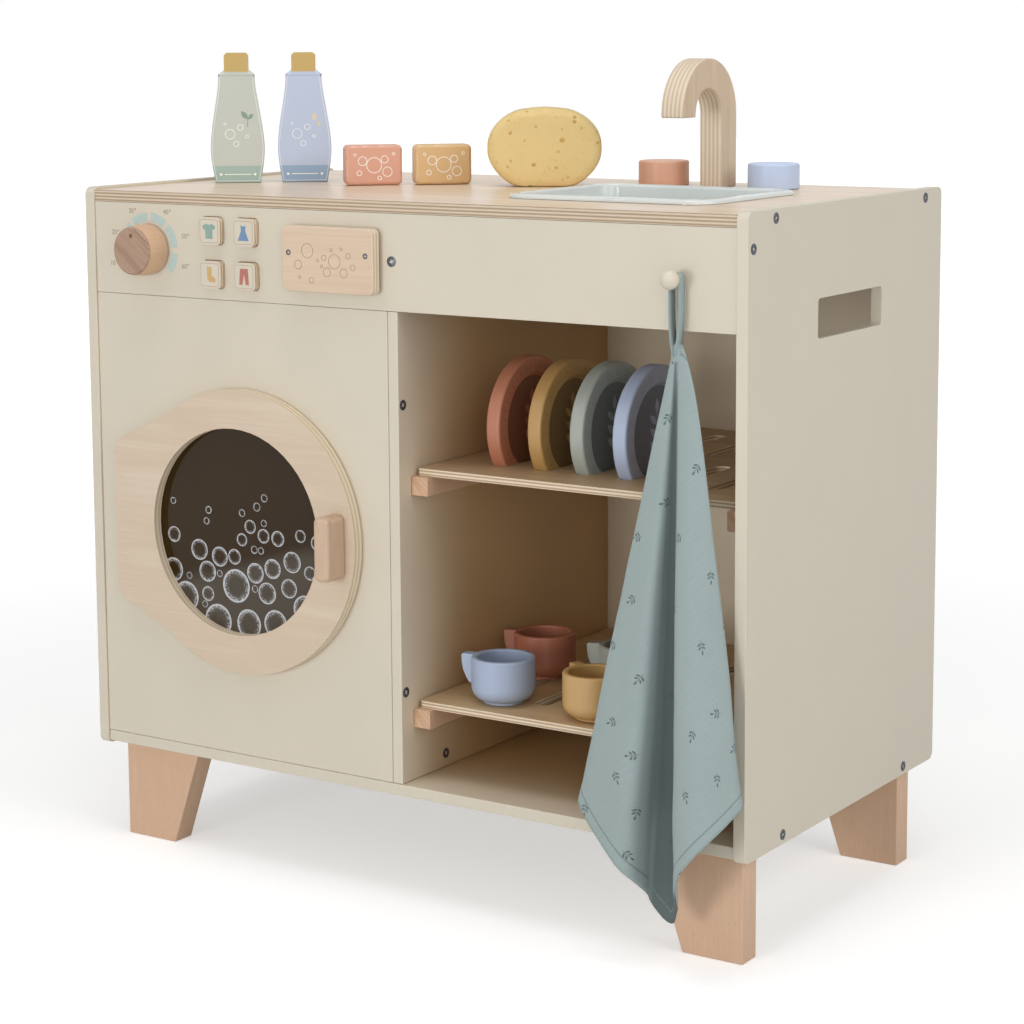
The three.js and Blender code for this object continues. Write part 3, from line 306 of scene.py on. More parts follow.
# %% Wood, plywood and paint
def wood_material(name, light, dark, bands=3.0, pores=0.0, uv=True, turn=0.0, rough=0.5):
    material, tree, shader = start_material(name, Roughness=rough)
    place = on_map(tree, "grain") if uv else places(tree)
    if turn:
        place = add(tree, "Mapping", {"Vector": place, "Rotation": (0, 0, turn)}).outputs[0]
    out = use(tree, grain, Vector=place, Light=rgb(*light), Dark=rgb(*dark), Bands=bands, Pores=pores)
    feed(tree, shader, Base_Color=out["Color"], Normal=bumped(tree, out["Height"], 0.25, 0.0003))
    return material


def ply_material(name, light, dark, ply=0.0013):
    material, tree, shader = start_material(name, Roughness=0.6)
    out = use(tree, layers, Vector=on_map(tree, "grain"), Ply=ply, Light=rgb(*light), Dark=rgb(*dark))
    feed(tree, shader, Base_Color=out["Color"], Normal=bumped(tree, out["Height"], 0.35, 0.0002))
    return material


def apply_paint(tree, shader, colour, wear):
    out = use(tree, paint, Vector=places(tree), Colour=colour, Edge=attribute(tree, "edge"), Wear=wear)
    normal = bumped(tree, out["Height"], 0.12, 0.0001)
    feed(tree, shader, Base_Color=out["Color"], Roughness=out["Roughness"], Normal=normal)


def paint_material(name, colour, wear=0.25, gloss=0.0):
    material, tree, shader = start_material(name, Coat_Weight=gloss, Coat_Roughness=0.25)
    apply_paint(tree, shader, colour, wear)
    return material


# %% Woods and paints of this unit
birch = wood_material("birch face", (226, 205, 180), (208, 182, 152))
shelf_birch = wood_material("shelf birch", (213, 185, 147), (195, 163, 122))
birch_top = wood_material("worktop birch", (232, 212, 189), (216, 192, 165), rough=0.33)
door_birch = wood_material("door birch", (221, 204, 183), (208, 188, 165), 2.4)
drawer_wood = wood_material("drawer face wood", (223, 200, 175), (213, 187, 161), 3.0, 0.05)
birch_inside = wood_material("birch inside", (222, 200, 172), (200, 172, 140), uv=False)
birch_edge = ply_material("birch ply edge", (230, 213, 187), (182, 154, 124))
worktop_edge = ply_material("worktop ply edge", (214, 197, 174), (168, 144, 118))
faucet_edge = ply_material("faucet ply edge", (230, 214, 192), (206, 185, 160), ply=0.0018)
door_edge = ply_material("door ply edge", (229, 214, 190), (205, 186, 158), ply=0.0021)
grip_wood = wood_material("grip beech", (222, 196, 172), (202, 172, 146), 2.0, 0.5)
grip_end = wood_material("grip end grain", (206, 178, 152), (180, 148, 122), 5.0, 0.3)
beech = wood_material("beech", (230, 196, 166), (214, 178, 148), 2.0, 0.45)
beech_end = wood_material("beech end grain", (222, 186, 154), (190, 150, 118), 5.0, 0.3, turn=0.8)
beech_inside = wood_material("beech inside", (210, 174, 144), (184, 146, 116), 2.0, 0.7, uv=False)
cream = paint_material("cream paint", rgb(214, 205, 187), wear=0.1)
# Painted light: a lighter copy of the cream for the inside face of the back panel
painted_light_cream = paint_material("cream paint with painted light on the back", rgb(234, 222, 198), wear=0.0)
terracotta = paint_material("terracotta paint", rgb(178, 112, 88), gloss=0.15)
mustard = paint_material("mustard paint", rgb(196, 158, 100), gloss=0.15)
sage = paint_material("sage paint", rgb(172, 178, 170), gloss=0.15)
sky_blue = paint_material("sky blue paint", rgb(166, 180, 204), gloss=0.15)

# %% Painted shade: the inside paint turns darker and browner deeper in the bay
BAY_MOUTH, BAY_DEEP, BACK_FACE, TOP_FACE = -0.165, -0.03, 0.1605, 0.528
painted_shade_cream, tree, shader = start_material("cream paint with painted shade inside")
where = axes(tree, places(tree))
# Painted shade: inward is 0 at the mouth of the bay and 1 deep inside, where the cream turns brown
inward = between(tree, where[1], BAY_MOUTH, BAY_DEEP)
for axis, end in ((Y, BACK_FACE), (Z, TOP_FACE)):
    inward = times(tree, inward, sums(tree, "LESS_THAN", where[axis], end))
apply_paint(tree, shader, tint(tree, inward, rgb(226, 214, 194), rgb(202, 168, 120)), wear=0.0)
print("materials so far:", len(bpy.data.materials))

# %% [markdown]
# ## From a solid to a finished board
# The solids are loose triangles with knife-sharp corners. No real board has such corners: a
# sander takes them off. A copy of the solid is welded, its flat faces are joined, and its edges
# get a small bevel. The bevel catches a thin line of light, which is what makes a board look real.

# %% Copy and bevel
def copy_of(node):
    bm = bmesh.new()
    bm.from_mesh(frame["nodes"][node].data)
    bmesh.ops.remove_doubles(bm, verts=bm.verts, dist=2e-6)
    bmesh.ops.dissolve_limit(bm, angle_limit=math.radians(0.6), verts=bm.verts, edges=bm.edges)
    return bm


def soften(bm, width, segments=2, sharper_than=35):
    """Bevels the sharp edges by a width in millimetres, and marks the new faces as edge."""
    limit = math.radians(sharper_than)
    edge = bm.faces.layers.float.get("edge") or bm.faces.layers.float.new("edge")
    sharp = [e for e in bm.edges if len(e.link_faces) == 2 and e.calc_face_angle(0) > limit]
    shape = {"offset": width * MM, "offset_type": "OFFSET", "segments": segments, "profile": 0.5}
    made = bmesh.ops.bevel(bm, geom=sharp, affect="EDGES", clamp_overlap=True, material=-1, **shape)
    for face in made["faces"]:
        face[edge] = 1.0
    bm.normal_update()


# %% Lay the grain
def lay_grain(bm, along, through=None):
    """UV in metres, first axis along the grain. A board has its ply edges as material 1, and
    solid wood (no through axis) its end grain."""
    uv = bm.loops.layers.uv.new("grain")
    low = [min(v.co[i] for v in bm.verts) for i in range(3)]
    for face in bm.faces:
        main = max(range(3), key=lambda i: abs(face.normal[i]))
        if through is None:
            first, second = ((along + 1) % 3, (along + 2) % 3) if main == along else (along, 3 - along - main)
            face.material_index = int(abs(face.normal[along]) > 0.7)
        elif main == through:
            first, second = along, 3 - through - along
            face.material_index = 0
        else:
            first, second = 3 - through - main, through
            face.material_index = 1
        for loop in face.loops:
            loop[uv].uv = (loop.vert.co[first] - low[first], loop.vert.co[second] - low[second])


# %% From a mesh to a piece
def make_piece(name, bm, materials, body, weighted=False):
    mesh = bpy.data.meshes.new(name)
    bm.to_mesh(mesh)
    bm.free()
    for material in materials:
        mesh.materials.append(material)
    mesh.shade_smooth()
    mesh.set_sharp_from_angle(angle=math.radians(38))
    made = bpy.data.objects.new(name, mesh)
    scene.collection.objects.link(made)
    if weighted:
        made.modifiers.new("flat faces stay flat", "WEIGHTED_NORMAL").keep_sharp = True
    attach(made, body)
    print(f"{name}: {len(mesh.polygons)} faces")
    return made


def finish(node, bm, materials, weighted=True, name=None):
    """A piece that takes the place of a solid, on the same body."""
    made = make_piece(name or node + "_finished", bm, materials, body_of[node], weighted)
    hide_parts(node)
    return made


def finish_board(node, materials, along, through=None, width=1.0, inner=None):
    """With inner, the faces that point that way get the third material."""
    bm = copy_of(node)
    soften(bm, width)
    lay_grain(bm, along, through)
    if inner:
        for face in bm.faces:
            if face.normal.dot(Vector(inner)) > 0.9:
                face.material_index = 2
    finish(node, bm, materials)


# %% [markdown]
# ## Painted boards
# The cabinet is 9 mm plywood, rolled with a warm off-white on faces and edges alike. So both
# materials of a board are the same paint here, and only the bevel tells the edge from the face.
# The third is the paint of the inside faces, with painted light: painted shade that turns darker and
# browner deeper in the bay, and a lighter cream on the back panel as painted light.

# %% Painted boards
for node, through, inner in (
    ("side_panel_left", X, (1, 0, 0)),
    ("side_panel_right", X, (-1, 0, 0)),
    ("divider_panel", X, (1, 0, 0)),
    ("bottom_panel", Z, (0, 0, 1)),
    ("back_panel", Y, (0, -1, 0)),
    ("control_fascia", Y, (0, 1, 0)),
    ("front_panel", Y, (0, 1, 0)),
):
    # The inside faces get painted light: painted shade in the bay, a lighter cream on the back panel
    inside_painted_light = painted_light_cream if node == "back_panel" else painted_shade_cream
    finish_board(node, [cream, cream, inside_painted_light], X if through == Z else Z, through, 0.7, inner)

# %% [markdown]
# ## Boards of clear plywood
# The worktop, the shelves, the door and the faucet are lacquered birch plywood. Their faces show
# calm grain, and their sawn edges show the veneers. Legs, battens and the grip are solid beech,
# which has end grain at its ends in place of veneers.

# %% Clear boards
def four(first, rows):
    """The names of a set of four: two rows, each left and right."""
    return [f"{first}_{row}_{side}" for row in rows for side in ("left", "right")]


finish_board("worktop", [birch_top, worktop_edge], X, Z, 0.6)
for node in ("upper_shelf", "lower_shelf"):
    finish_board(node, [shelf_birch, birch_edge], X, Z, 0.4)
finish_board("door_panel", [door_birch, door_edge], X, Y)
finish_board("faucet", [birch, faucet_edge], Z, X, 1.2)
for node in four("leg", ("front", "back")):
    finish_board(node, [beech, beech_end], Z)
for node in four("batten", ("upper", "lower")):
    finish_board(node, [beech, beech_end], Y, width=0.6)
finish_board("door_grip", [grip_wood, grip_end], Z, width=1.2)
finish_board("drawer_front", [drawer_wood, faucet_edge], X, Y)
for node in four("button", ("upper", "lower")):
    finish_board(node, [cream, birch_edge], X, Y, 0.5)

# %% Hidden wooden parts keep their solids
def give_material(nodes, material):
    for node in nodes:
        slots = frame["nodes"][node].data.materials
        slots.clear()
        slots.append(material)


give_material(("drawer_box", "drawer_housing", "button_holder"), birch_inside)
give_material(("dial_shaft", "faucet_dowel", "tap_dowel_left", "tap_dowel_right"), beech_inside)

# %% [markdown]
# ## The smoky window and its soap bubbles
# The window is a 2 mm sheet of tinted acrylic. Its colour is nearly black. Below a low curve it is
# painted lighter: a painted reflection of the bright floor. The bubbles are printed on it in
# translucent white. Each is a small disc, and its own UV map, from -1 to 1, lets the material
# draw a frothy ring.

# %% Window
shine = {"Roughness": 0.05, "IOR": 1.45, "Specular IOR Level": 0.22}
smoky, tree, shader = start_material("smoky acrylic", Alpha=0.95, **shine)
where = axes(tree, places(tree))
curve = times(tree, plus(tree, where[0], 0.12), 0.28)
# Painted reflection: below a low curve the colour is lighter, as the bright floor mirrored there
painted_floor_reflection = between(tree, minus(tree, where[2], curve), 0.262, 0.245)
dark_part = tint(tree, cloudy(tree, places(tree), 9.0, 2), rgb(44, 27, 2), rgb(59, 41, 12))
feed(tree, shader, Base_Color=tint(tree, painted_floor_reflection, dark_part, rgb(82, 73, 62)))
give_material(["door_window"], smoky)

# %% Froth of a bubble
froth, tree, shader = start_material("bubble print", Roughness=0.35, Base_Color=rgb(226, 228, 232))
from_middle = reach_of(tree, on_map(tree, "disc"))
speckle = cloudy(tree, places(tree), 950.0, 3, 0.7)
line = times(tree, between(tree, from_middle, 0.84, 0.9), between(tree, from_middle, 1.0, 0.95))
fringe = times(tree, between(tree, from_middle, 0.5, 0.92), between(tree, speckle, 0.46, 0.56))
mask = times(tree, sums(tree, "MAXIMUM", line, fringe), between(tree, from_middle, 1.0, 0.97))
feed(tree, shader, Alpha=times(tree, mask, 0.72))


# %% Places for the bubbles
def scatter(rows, tries, gap, draw):
    """Circles that keep a gap. A row has a radius, a wanted number and a highest place, and
    draw makes one random circle and says whether it fits."""
    found = []
    for radius, wanted, highest in rows:
        for _ in range(tries):
            x, z, size, fits = draw(radius, highest)
            if fits and all(math.hypot(x - cx, z - cz) > size + cr + gap for cx, cz, cr in found):
                found.append((x, z, size))
            if sum(abs(c[2] / radius - 1) < 0.2 for c in found) >= wanted:
                break
    return found


PRINT_REACH, THIN_OUT = 84, 60
chance = random.Random(7)


def draw_bubble(radius, highest):
    angle, share = chance.uniform(0, 2 * math.pi), math.sqrt(chance.random())
    x, z = PRINT_REACH * share * math.cos(angle), PRINT_REACH * share * math.sin(angle)
    size = radius * chance.uniform(0.85, 1.1)
    return x, z, size, z < highest - chance.random() ** 2 * THIN_OUT


rows = ((12.5, 6, -38), (9, 9, -16), (6, 11, 6), (3.2, 15, 34))
bubbles = scatter(rows, tries=4000, gap=0.4, draw=draw_bubble)
print("bubbles:", len(bubbles))

# %% Bubbles
window_low, _, window_middle = box_of("door_window")
bm = bmesh.new()
disc_map = bm.loops.layers.uv.new("disc")
for x, z, size in bubbles:
    centre = Vector((window_middle.x + x * MM, window_low.y - 0.05 * MM, window_middle.z + z * MM))
    turn = Matrix.Translation(centre) @ Matrix.Rotation(math.pi / 2, 4, "X")
    disc = bmesh.ops.create_circle(bm, cap_ends=True, segments=32, radius=size * MM, matrix=turn)
    for face in {f for v in disc["verts"] for f in v.link_faces}:
        for loop in face.loops:
            away = (loop.vert.co - centre) / (size * MM)
            loop[disc_map].uv = (away.x, away.z)
make_piece("window_bubbles", bm, [froth], "door")

# %% [markdown]
# ## Prints
# Ink and burnt marks lie on the surface. A print here is a very thin plate, a tenth of a
# millimetre, so it has no depth fight with the board under it. Outlines are drawn flat, in
# millimetres, and a matrix puts them on the board. Two outlines with the same number of points
# make a band between them.

# %% Outlines
def arc(radius, start, end, points=6, cx=0.0, cy=0.0):
    """Angles in degrees, anticlockwise from the right."""
    turns = [math.radians(start + (end - start) * i / (points - 1)) for i in range(points)]
    return [(cx + radius * math.cos(t), cy + radius * math.sin(t)) for t in turns]


def circle(radius, cx=0.0, cy=0.0, points=24):
    return arc(radius, 0, 360, points + 1, cx, cy)[:-1]


def ring(radius, line, cx=0.0, cy=0.0, points=24):
    return circle(radius, cx, cy, points), circle(radius - line, cx, cy, points)


def round_square(half, corner):
    c = half - corner
    middles = ((c, c), (-c, c), (-c, -c), (c, -c))
    return [p for i, (x, y) in enumerate(middles) for p in arc(corner, 90 * i, 90 * i + 90, 6, x, y)]


def arc_band(inner, outer, start, end, points=14):
    """A sector of a ring. Angles in degrees, clockwise from the top."""
    return arc(outer, 90 - start, 90 - end, points) + arc(inner, 90 - end, 90 - start, points)


def leaf(cx, cy, angle, length, width, points=7):
    """A pointed leaf that starts at (cx, cy)."""
    c, s = math.cos(math.radians(angle)), math.sin(math.radians(angle))
    side = [(length * i / points, width / 2 * math.sin(math.pi * i / points)) for i in range(points + 1)]
    outline = side + [(x, -y) for x, y in reversed(side[1:-1])]
    return [(cx + x * c - y * s, cy + x * s + y * c) for x, y in outline]


def bar(x0, y0, x1, y1, width):
    start, end = Vector((x0, y0)), Vector((x1, y1))
    side = Vector((y0 - y1, x1 - x0)).normalized() * width / 2
    return [tuple(p) for p in (start - side, end - side, end + side, start + side)]


# %% From outlines to a print
def facing(x, y, z, degrees=0):
    """The place of a flat print: 0 faces the front, 90 the right side and 180 the back."""
    c, s = math.cos(math.radians(degrees)), math.sin(math.radians(degrees))
    return Matrix(((c, 0, s, x), (s, 0, -c, y), (0, 1, 0, z), (0, 0, 0, 1)))


def pour(source, target):
    """Adds one bmesh to another."""
    store = bpy.data.meshes.new("store")
    source.to_mesh(store)
    source.free()
    target.from_mesh(store)
    bpy.data.meshes.remove(store)


def new_points(made):
    """The points that an extrusion has made."""
    return [v for v in made["geom"] if isinstance(v, bmesh.types.BMVert)]


def swept(bm, faces, vec):
    """Makes flat faces solid."""
    made = bmesh.ops.extrude_face_region(bm, geom=faces)
    bmesh.ops.translate(bm, verts=new_points(made), vec=vec)


def add_prints(bm, shapes, place, thick=0.1):
    flat = bmesh.new()
    for shape in shapes:
        if isinstance(shape[0][0], (int, float)):
            flat.faces.new([flat.verts.new((x * MM, y * MM, 0)) for x, y in shape])
        else:
            outer, inner = ([flat.verts.new((x * MM, y * MM, 0)) for x, y in loop] for loop in shape)
            for i in range(len(outer)):
                flat.faces.new((outer[i - 1], outer[i], inner[i], inner[i - 1]))
    swept(flat, flat.faces[:], (0, 0, thick * MM))
    bmesh.ops.translate(flat, verts=flat.verts, vec=(0, 0, -0.03 * MM))
    bmesh.ops.recalc_face_normals(flat, faces=flat.faces)
    flat.transform(place)
    pour(flat, bm)


def printed(name, shapes, place, material, node, thick=0.1):
    """A print that moves with a node."""
    bm = bmesh.new()
    add_prints(bm, shapes, place, thick)
    make_piece(name, bm, [material], body_of[node])


# %% Inks
def ink(name, colour):
    material, tree, shader = start_material(name, Roughness=0.5)
    fade = between(tree, cloudy(tree, places(tree), 700.0, 3, 0.7), 0.2, 0.8)
    pale = tuple(min(1.0, c * 1.18 + 0.01) for c in colour[:3]) + (1.0,)
    feed(tree, shader, Base_Color=tint(tree, fade, colour, pale))
    return material


teal_ink = ink("pale teal ink", rgb(174, 194, 189))
grey_ink = ink("grey brown ink", rgb(140, 122, 106))
rose_ink = ink("rose ink", rgb(178, 140, 120))
white_ink = ink("white ink", rgb(238, 236, 228))
burnt_ink = ink("burnt line", rgb(160, 118, 88))
sage_ink = ink("sage ink", rgb(134, 158, 150))
mustard_ink = ink("mustard ink", rgb(196, 160, 106))
terracotta_ink = ink("terracotta ink", rgb(172, 108, 94))
blue_ink = ink("blue ink", rgb(104, 134, 166))

# %% [markdown]
# ## The dial
# The knob is turned from a beech bar, so its front shows end grain: slanted lines of growth rings.
# A burnt dimple marks the setting. Round it the fascia carries six pale sectors and the numbers.

# %% Dial knob
DIMPLE_UP, DIMPLE_RADIUS, DIMPLE_DEPTH = 12 * MM, 1.8 * MM, 1.2 * MM
bm = copy_of("dial_knob")
soften(bm, 0.5, 2, 50)
lay_grain(bm, Y)
dial_low, _, dial_middle = box_of("dial_knob")
for face in bm.faces:
    middle = face.calc_center_median()
    aside = math.hypot(middle.x - dial_middle.x, middle.z - dial_middle.z - DIMPLE_UP)
    if aside < DIMPLE_RADIUS and middle.y < dial_low.y + DIMPLE_DEPTH:
        face.material_index = 2
dial_end = wood_material("dial end grain", (175, 145, 123), (153, 122, 101), 12.0, 0.5, turn=0.9)
dial_side = wood_material("dial side", (226, 196, 166), (206, 170, 138), 2.0, 0.5)
burnt, tree, shader = start_material("burnt wood", Roughness=0.8)
scorch = tint(tree, cloudy(tree, places(tree), 900.0), rgb(124, 82, 60), rgb(150, 106, 80))
feed(tree, shader, Base_Color=scorch)
finish("dial_knob", bm, [dial_side, dial_end, burnt])

# %% Marks round the dial
fascia_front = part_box("control_fascia")[0].y
dial_place = facing(dial_middle.x, fascia_front, dial_middle.z)
turns = ((4, 38), (45, 85), (95, 130), (-38, -4), (-85, -45), (-130, -95))
sectors = [arc_band(22.4, 29, *turn) for turn in turns]
printed("dial_sectors", sectors, dial_place, teal_ink, "control_fascia", 0.08)


def mesh_of(holder):
    """The mesh of a text, or of an object with its modifier. The object is used up."""
    scene.collection.objects.link(holder)
    bpy.context.view_layer.update()
    mesh = bpy.data.meshes.new_from_object(holder.evaluated_get(bpy.context.evaluated_depsgraph_get()))
    bpy.data.objects.remove(holder)
    return mesh


def add_text(bm, text, height, place):
    curve = bpy.data.curves.new("text", "FONT")
    curve.body, curve.size, curve.align_x, curve.align_y = text, height * MM, "CENTER", "CENTER"
    curve.extrude = 0.05 * MM
    mesh = mesh_of(bpy.data.objects.new("text", curve))
    mesh.transform(place)
    bm.from_mesh(mesh)
    bpy.data.meshes.remove(mesh)


# %% Numbers
NUMBER_HEIGHT = 5.4
bm = bmesh.new()
for number, x, z in (
    ("10", -273.5, 478.8),
    ("20", -271.2, 503.6),
    ("30", -252.9, 521.1),
    ("40", -217.0, 521.3),
    ("50", -198.8, 503.0),
    ("60", -199.2, 479.2),
):
    place = facing(x * MM, fascia_front, z * MM)
    add_text(bm, number, NUMBER_HEIGHT, place)
    add_prints(bm, [ring(0.75, 0.4, 4.2, 1.4, 12)], place)
bmesh.ops.remove_doubles(bm, verts=bm.verts, dist=1e-6)
make_piece("dial_numbers", bm, [grey_ink], "cabinet")

# %% [markdown]
# ## Pictures on the buttons
# Each button has a thin frame line and a garment. They are simple outlines drawn for this lesson.

# %% Button prints
shirt = [(-5, 3), (-2, 4.5), (-1, 3.9), (1, 3.9), (2, 4.5), (5, 3), (4, 0.6), (2.7, 1.3)]
shirt += [(2.7, -4.5), (-2.7, -4.5), (-2.7, 1.3), (-4, 0.6)]
sock = [(-2, 4.8), (1.4, 4.8), (1.4, -0.4), (4, -2), (4.4, -3.5), (3.3, -4.5), (-0.4, -4.1), (-2, -2.2)]
trousers = [(-3, 4.8), (3, 4.8), (3.7, -4.8), (1.2, -4.8), (0, 1.6), (-1.2, -4.8), (-3.7, -4.8)]
dress = [(-1.9, 4.8), (-1.1, 3.8), (1.1, 3.8), (1.9, 4.8), (1.6, 1), (4.2, -4.8), (-4.2, -4.8), (-1.6, 1)]
garments = ((shirt, sage_ink), (dress, blue_ink), (sock, mustard_ink), (trousers, terracotta_ink))
frame_line = (round_square(9.1, 2.2), round_square(8.75, 1.9))
GARMENT_SCALE = 1.3
for node, (garment, colour) in zip(four("button", ("upper", "lower")), garments):
    low, _, middle = box_of(node)
    place = facing(middle.x, low.y, middle.z)
    garment = [(x * GARMENT_SCALE, y * GARMENT_SCALE) for x, y in garment]
    printed(node + "_picture", [garment], place, colour, node)
    printed(node + "_frame_line", [frame_line], place, rose_ink, node)

# %% [markdown]
# ## Burnt rings on the drawer
# The drawer front shows soap bubbles as thin burnt rings, drawn here from a seeded list so that
# they fall in the same places every time.

# %% Drawer rings
drawer_low, _, drawer_middle = box_of("drawer_front")
chance = random.Random(21)


def draw_ring(radius, highest):
    x, z = chance.uniform(-27, 27), chance.uniform(-17, 17)
    return x, z, radius, z < highest - abs(x) * 0.2


RING_TOP = 12
rows = [(radius, wanted, RING_TOP) for radius, wanted in ((5.6, 2), (3.6, 3), (2.3, 4), (1.3, 5))]
rings = scatter(rows, tries=2000, gap=0.9, draw=draw_ring)
place = facing(drawer_middle.x, drawer_low.y, drawer_middle.z)
printed("drawer_rings", [ring(r, 0.42, x, z, 28) for x, z, r in rings], place, burnt_ink, "drawer_front")

# %% [markdown]
# ## Metal
# Hinges, magnet and screws are zinc-plated steel: metal all through, with a cloudy dull coat.

# %% Steel
def steel_material(name, metallic, scale, dark, light, dull):
    material, tree, shader = start_material(name, Metallic=metallic)
    cloud = cloudy(tree, places(tree), scale, 4, 0.6)
    rough = plus(tree, times(tree, cloud, 0.3), dull)
    feed(tree, shader, Base_Color=tint(tree, cloud, dark, light), Roughness=rough)
    return material


steel = steel_material("zinc plated steel", 1.0, 220.0, (0.42, 0.42, 0.43, 1), (0.6, 0.6, 0.62, 1), 0.22)
dark_steel = steel_material("dark screw steel", 0.8, 500.0, rgb(54, 55, 58), rgb(112, 118, 128), 0.3)
give_material([node for node, slot in slot_of.items() if slot == "zinc_steel"], steel)

# %% [markdown]
# ### A screw head
# A head starts as a grid of five by five faces. Its rings of points are pushed out to circles,
# the middle cross is pressed in for the driver, and the rim is domed.

# %% A screw head
def add_screw(bm, place, turn, radius=4.0, proud=0.7):
    head = bmesh.new()
    bmesh.ops.create_grid(head, x_segments=5, y_segments=5, size=1.0)
    cross = []
    for face in head.faces:
        cell = face.calc_center_median()
        column, row = round(cell.x / 0.4), round(cell.y / 0.4)
        if (column == 0 and abs(row) < 2) or (row == 0 and abs(column) < 2):
            cross.append(face)
    for vert in head.verts:
        out = max(abs(vert.co.x), abs(vert.co.y))
        flat = Vector((vert.co.x, vert.co.y, 0))
        round_point = flat.normalized() * out if flat.length else flat
        point = round_point.lerp(flat, 1 - out ** 2)
        vert.co = Vector((point.x * radius * MM, point.y * radius * MM, proud * MM * (1 - 0.55 * out ** 4)))
    skirt = bmesh.ops.extrude_edge_only(head, edges=[e for e in head.edges if e.is_boundary])
    for vert in new_points(skirt):
        vert.co.z = -0.3 * MM
    bmesh.ops.contextual_create(head, geom=[e for e in head.edges if e.is_boundary])
    pressed = bmesh.ops.extrude_face_region(head, geom=cross)
    bmesh.ops.delete(head, geom=cross, context="FACES_ONLY")
    down = new_points(pressed)
    bmesh.ops.translate(head, verts=down, vec=(0, 0, -0.75 * MM))
    bmesh.ops.scale(head, verts=down, vec=(0.8, 0.8, 1))
    bmesh.ops.recalc_face_normals(head, faces=head.faces)
    head.transform(place @ Matrix.Rotation(math.radians(turn), 4, "Z"))
    pour(head, bm)


# %% Screws of the cabinet and the drawer
side_x, divider_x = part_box("side_panel_right")[1].x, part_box("divider_panel")[1].x
back_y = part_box("back_panel")[1].y
mirror = Matrix.Scale(-1, 4, (1, 0, 0))
SMALL_HEAD, SMALL_PROUD = 2.6, 0.5
chance = random.Random(3)
bm = bmesh.new()
add_screw(bm, facing(1.1 * MM, fascia_front, 492 * MM), 20)
for y, z in ((-104.2, 532.4), (144.8, 532.0), (-137.0, 513.3), (-86.2, 88.2), (119.3, 87.7)):
    spot = facing(side_x, y * MM, z * MM, 90)
    for place in (spot, mirror @ spot):
        add_screw(bm, place, chance.uniform(0, 90))
for y, z in ((-137.3, 384.1), (-137.5, 163.7), (-85.0, 103.5)):
    add_screw(bm, facing(divider_x, y * MM, z * MM, 90), 33)
for x in (-280, -1, 280):
    for z in (108, 310, 512):
        add_screw(bm, facing(x * MM, back_y, z * MM, 180), chance.uniform(0, 90), SMALL_HEAD, SMALL_PROUD)
bmesh.ops.recalc_face_normals(bm, faces=bm.faces)
make_piece("cabinet_screws", bm, [dark_steel], "cabinet")
bm = bmesh.new()
for x in (-87, -15):
    add_screw(bm, facing(x * MM, drawer_low.y, drawer_middle.z + 4.6 * MM), 12, 2.2, 0.35)
make_piece("drawer_screws", bm, [dark_steel], "drawer")

# %% [markdown]
# ## Turned pieces
# Plates, cups, tap knobs and the peg come off a lathe. A lathe piece is half a section spun round
# its axis. The section is written from the middle outwards and back, in millimetres.

# %% A lathe
def turned(section, steps=64):
    bm = bmesh.new()
    points = [bm.verts.new((r * MM, 0, h * MM)) for r, h in section]
    lines = [bm.edges.new(pair) for pair in zip(points, points[1:])]
    axis = {"cent": (0, 0, 0), "axis": (0, 0, 1), "angle": 2 * math.pi, "steps": steps}
    bmesh.ops.spin(bm, geom=points + lines, use_merge=True, use_duplicate=False, **axis)
    bmesh.ops.remove_doubles(bm, verts=bm.verts, dist=1e-6)
    bmesh.ops.recalc_face_normals(bm, faces=bm.faces)
    return bm


# %% Tap knobs and the peg
tap_orange = paint_material("tap terracotta", rgb(213, 162, 135), gloss=0.15)
tap_blue = paint_material("tap blue", rgb(196, 212, 240), gloss=0.15)
for node, material in (("tap_knob_left", tap_orange), ("tap_knob_right", tap_blue)):
    low, high, middle = box_of(node)
    radius, tall = (high.x - low.x) / 2 / MM, (high.z - low.z) / MM
    section = arc(1.2, -90, 0, 6, radius - 1.2, 1.2) + arc(2, 0, 90, 6, radius - 2, tall - 2)
    bm = turned([(0, 0)] + section + [(0, tall)])
    bm.transform(Matrix.Translation((middle.x, middle.y, low.z)))
    finish(node, bm, [material])
peg_low, peg_high, peg_middle = box_of("towel_peg")
ball = (peg_high.x - peg_low.x) / 2 / MM
stem_end = (peg_high.y - peg_low.y) / MM - ball
bm = turned(arc(ball, -90, 62, 20) + [(3.2, 9), (3, 12), (3, stem_end), (0, stem_end)], 40)
ball_middle = Vector((peg_middle.x, peg_low.y + ball * MM, peg_middle.z))
bm.transform(Matrix.Translation(ball_middle) @ Matrix.Rotation(-math.pi / 2, 4, "X"))
finish("towel_peg", bm, [cream], weighted=False)

# %% [markdown]
# ## Plates
# A plate is a turned disc with a sunken middle. The rim is painted in the plate's colour, and the
# sunken middle is painted darker as painted shade. The rim has a border of small marks and the middle a plain
# plant.

# %% Prints of the plates
def darker(colour, share):
    return tuple(c * share for c in colour[:3]) + (1.0,)


def border(kind, radius):
    """Forty strokes, or a dot or scallop at every second of their places."""
    marks = []
    for i, (x, y) in enumerate(circle(1, points=40)):
        if kind == "strokes":
            marks.append(bar(x * (radius - 4), y * (radius - 4), x * (radius + 1), y * (radius + 1), 0.8))
        elif kind == "dots" and i % 2 == 0:
            marks.append(circle(1.0, x * (radius - 1), y * (radius - 1), 10))
        elif kind == "scallops" and i % 2 == 0:
            marks.append(ring(2.6, 0.5, x * (radius - 2), y * (radius - 2), 16))
    return marks


plant = [bar(0, -24, 0, 14, 1.1)]
plant += [leaf(0, level, 90 - side * 52, 13, 5.5) for level in (-14, -4, 6) for side in (1, -1)]
plant.append(leaf(0, 14, 90, 12, 5.5))

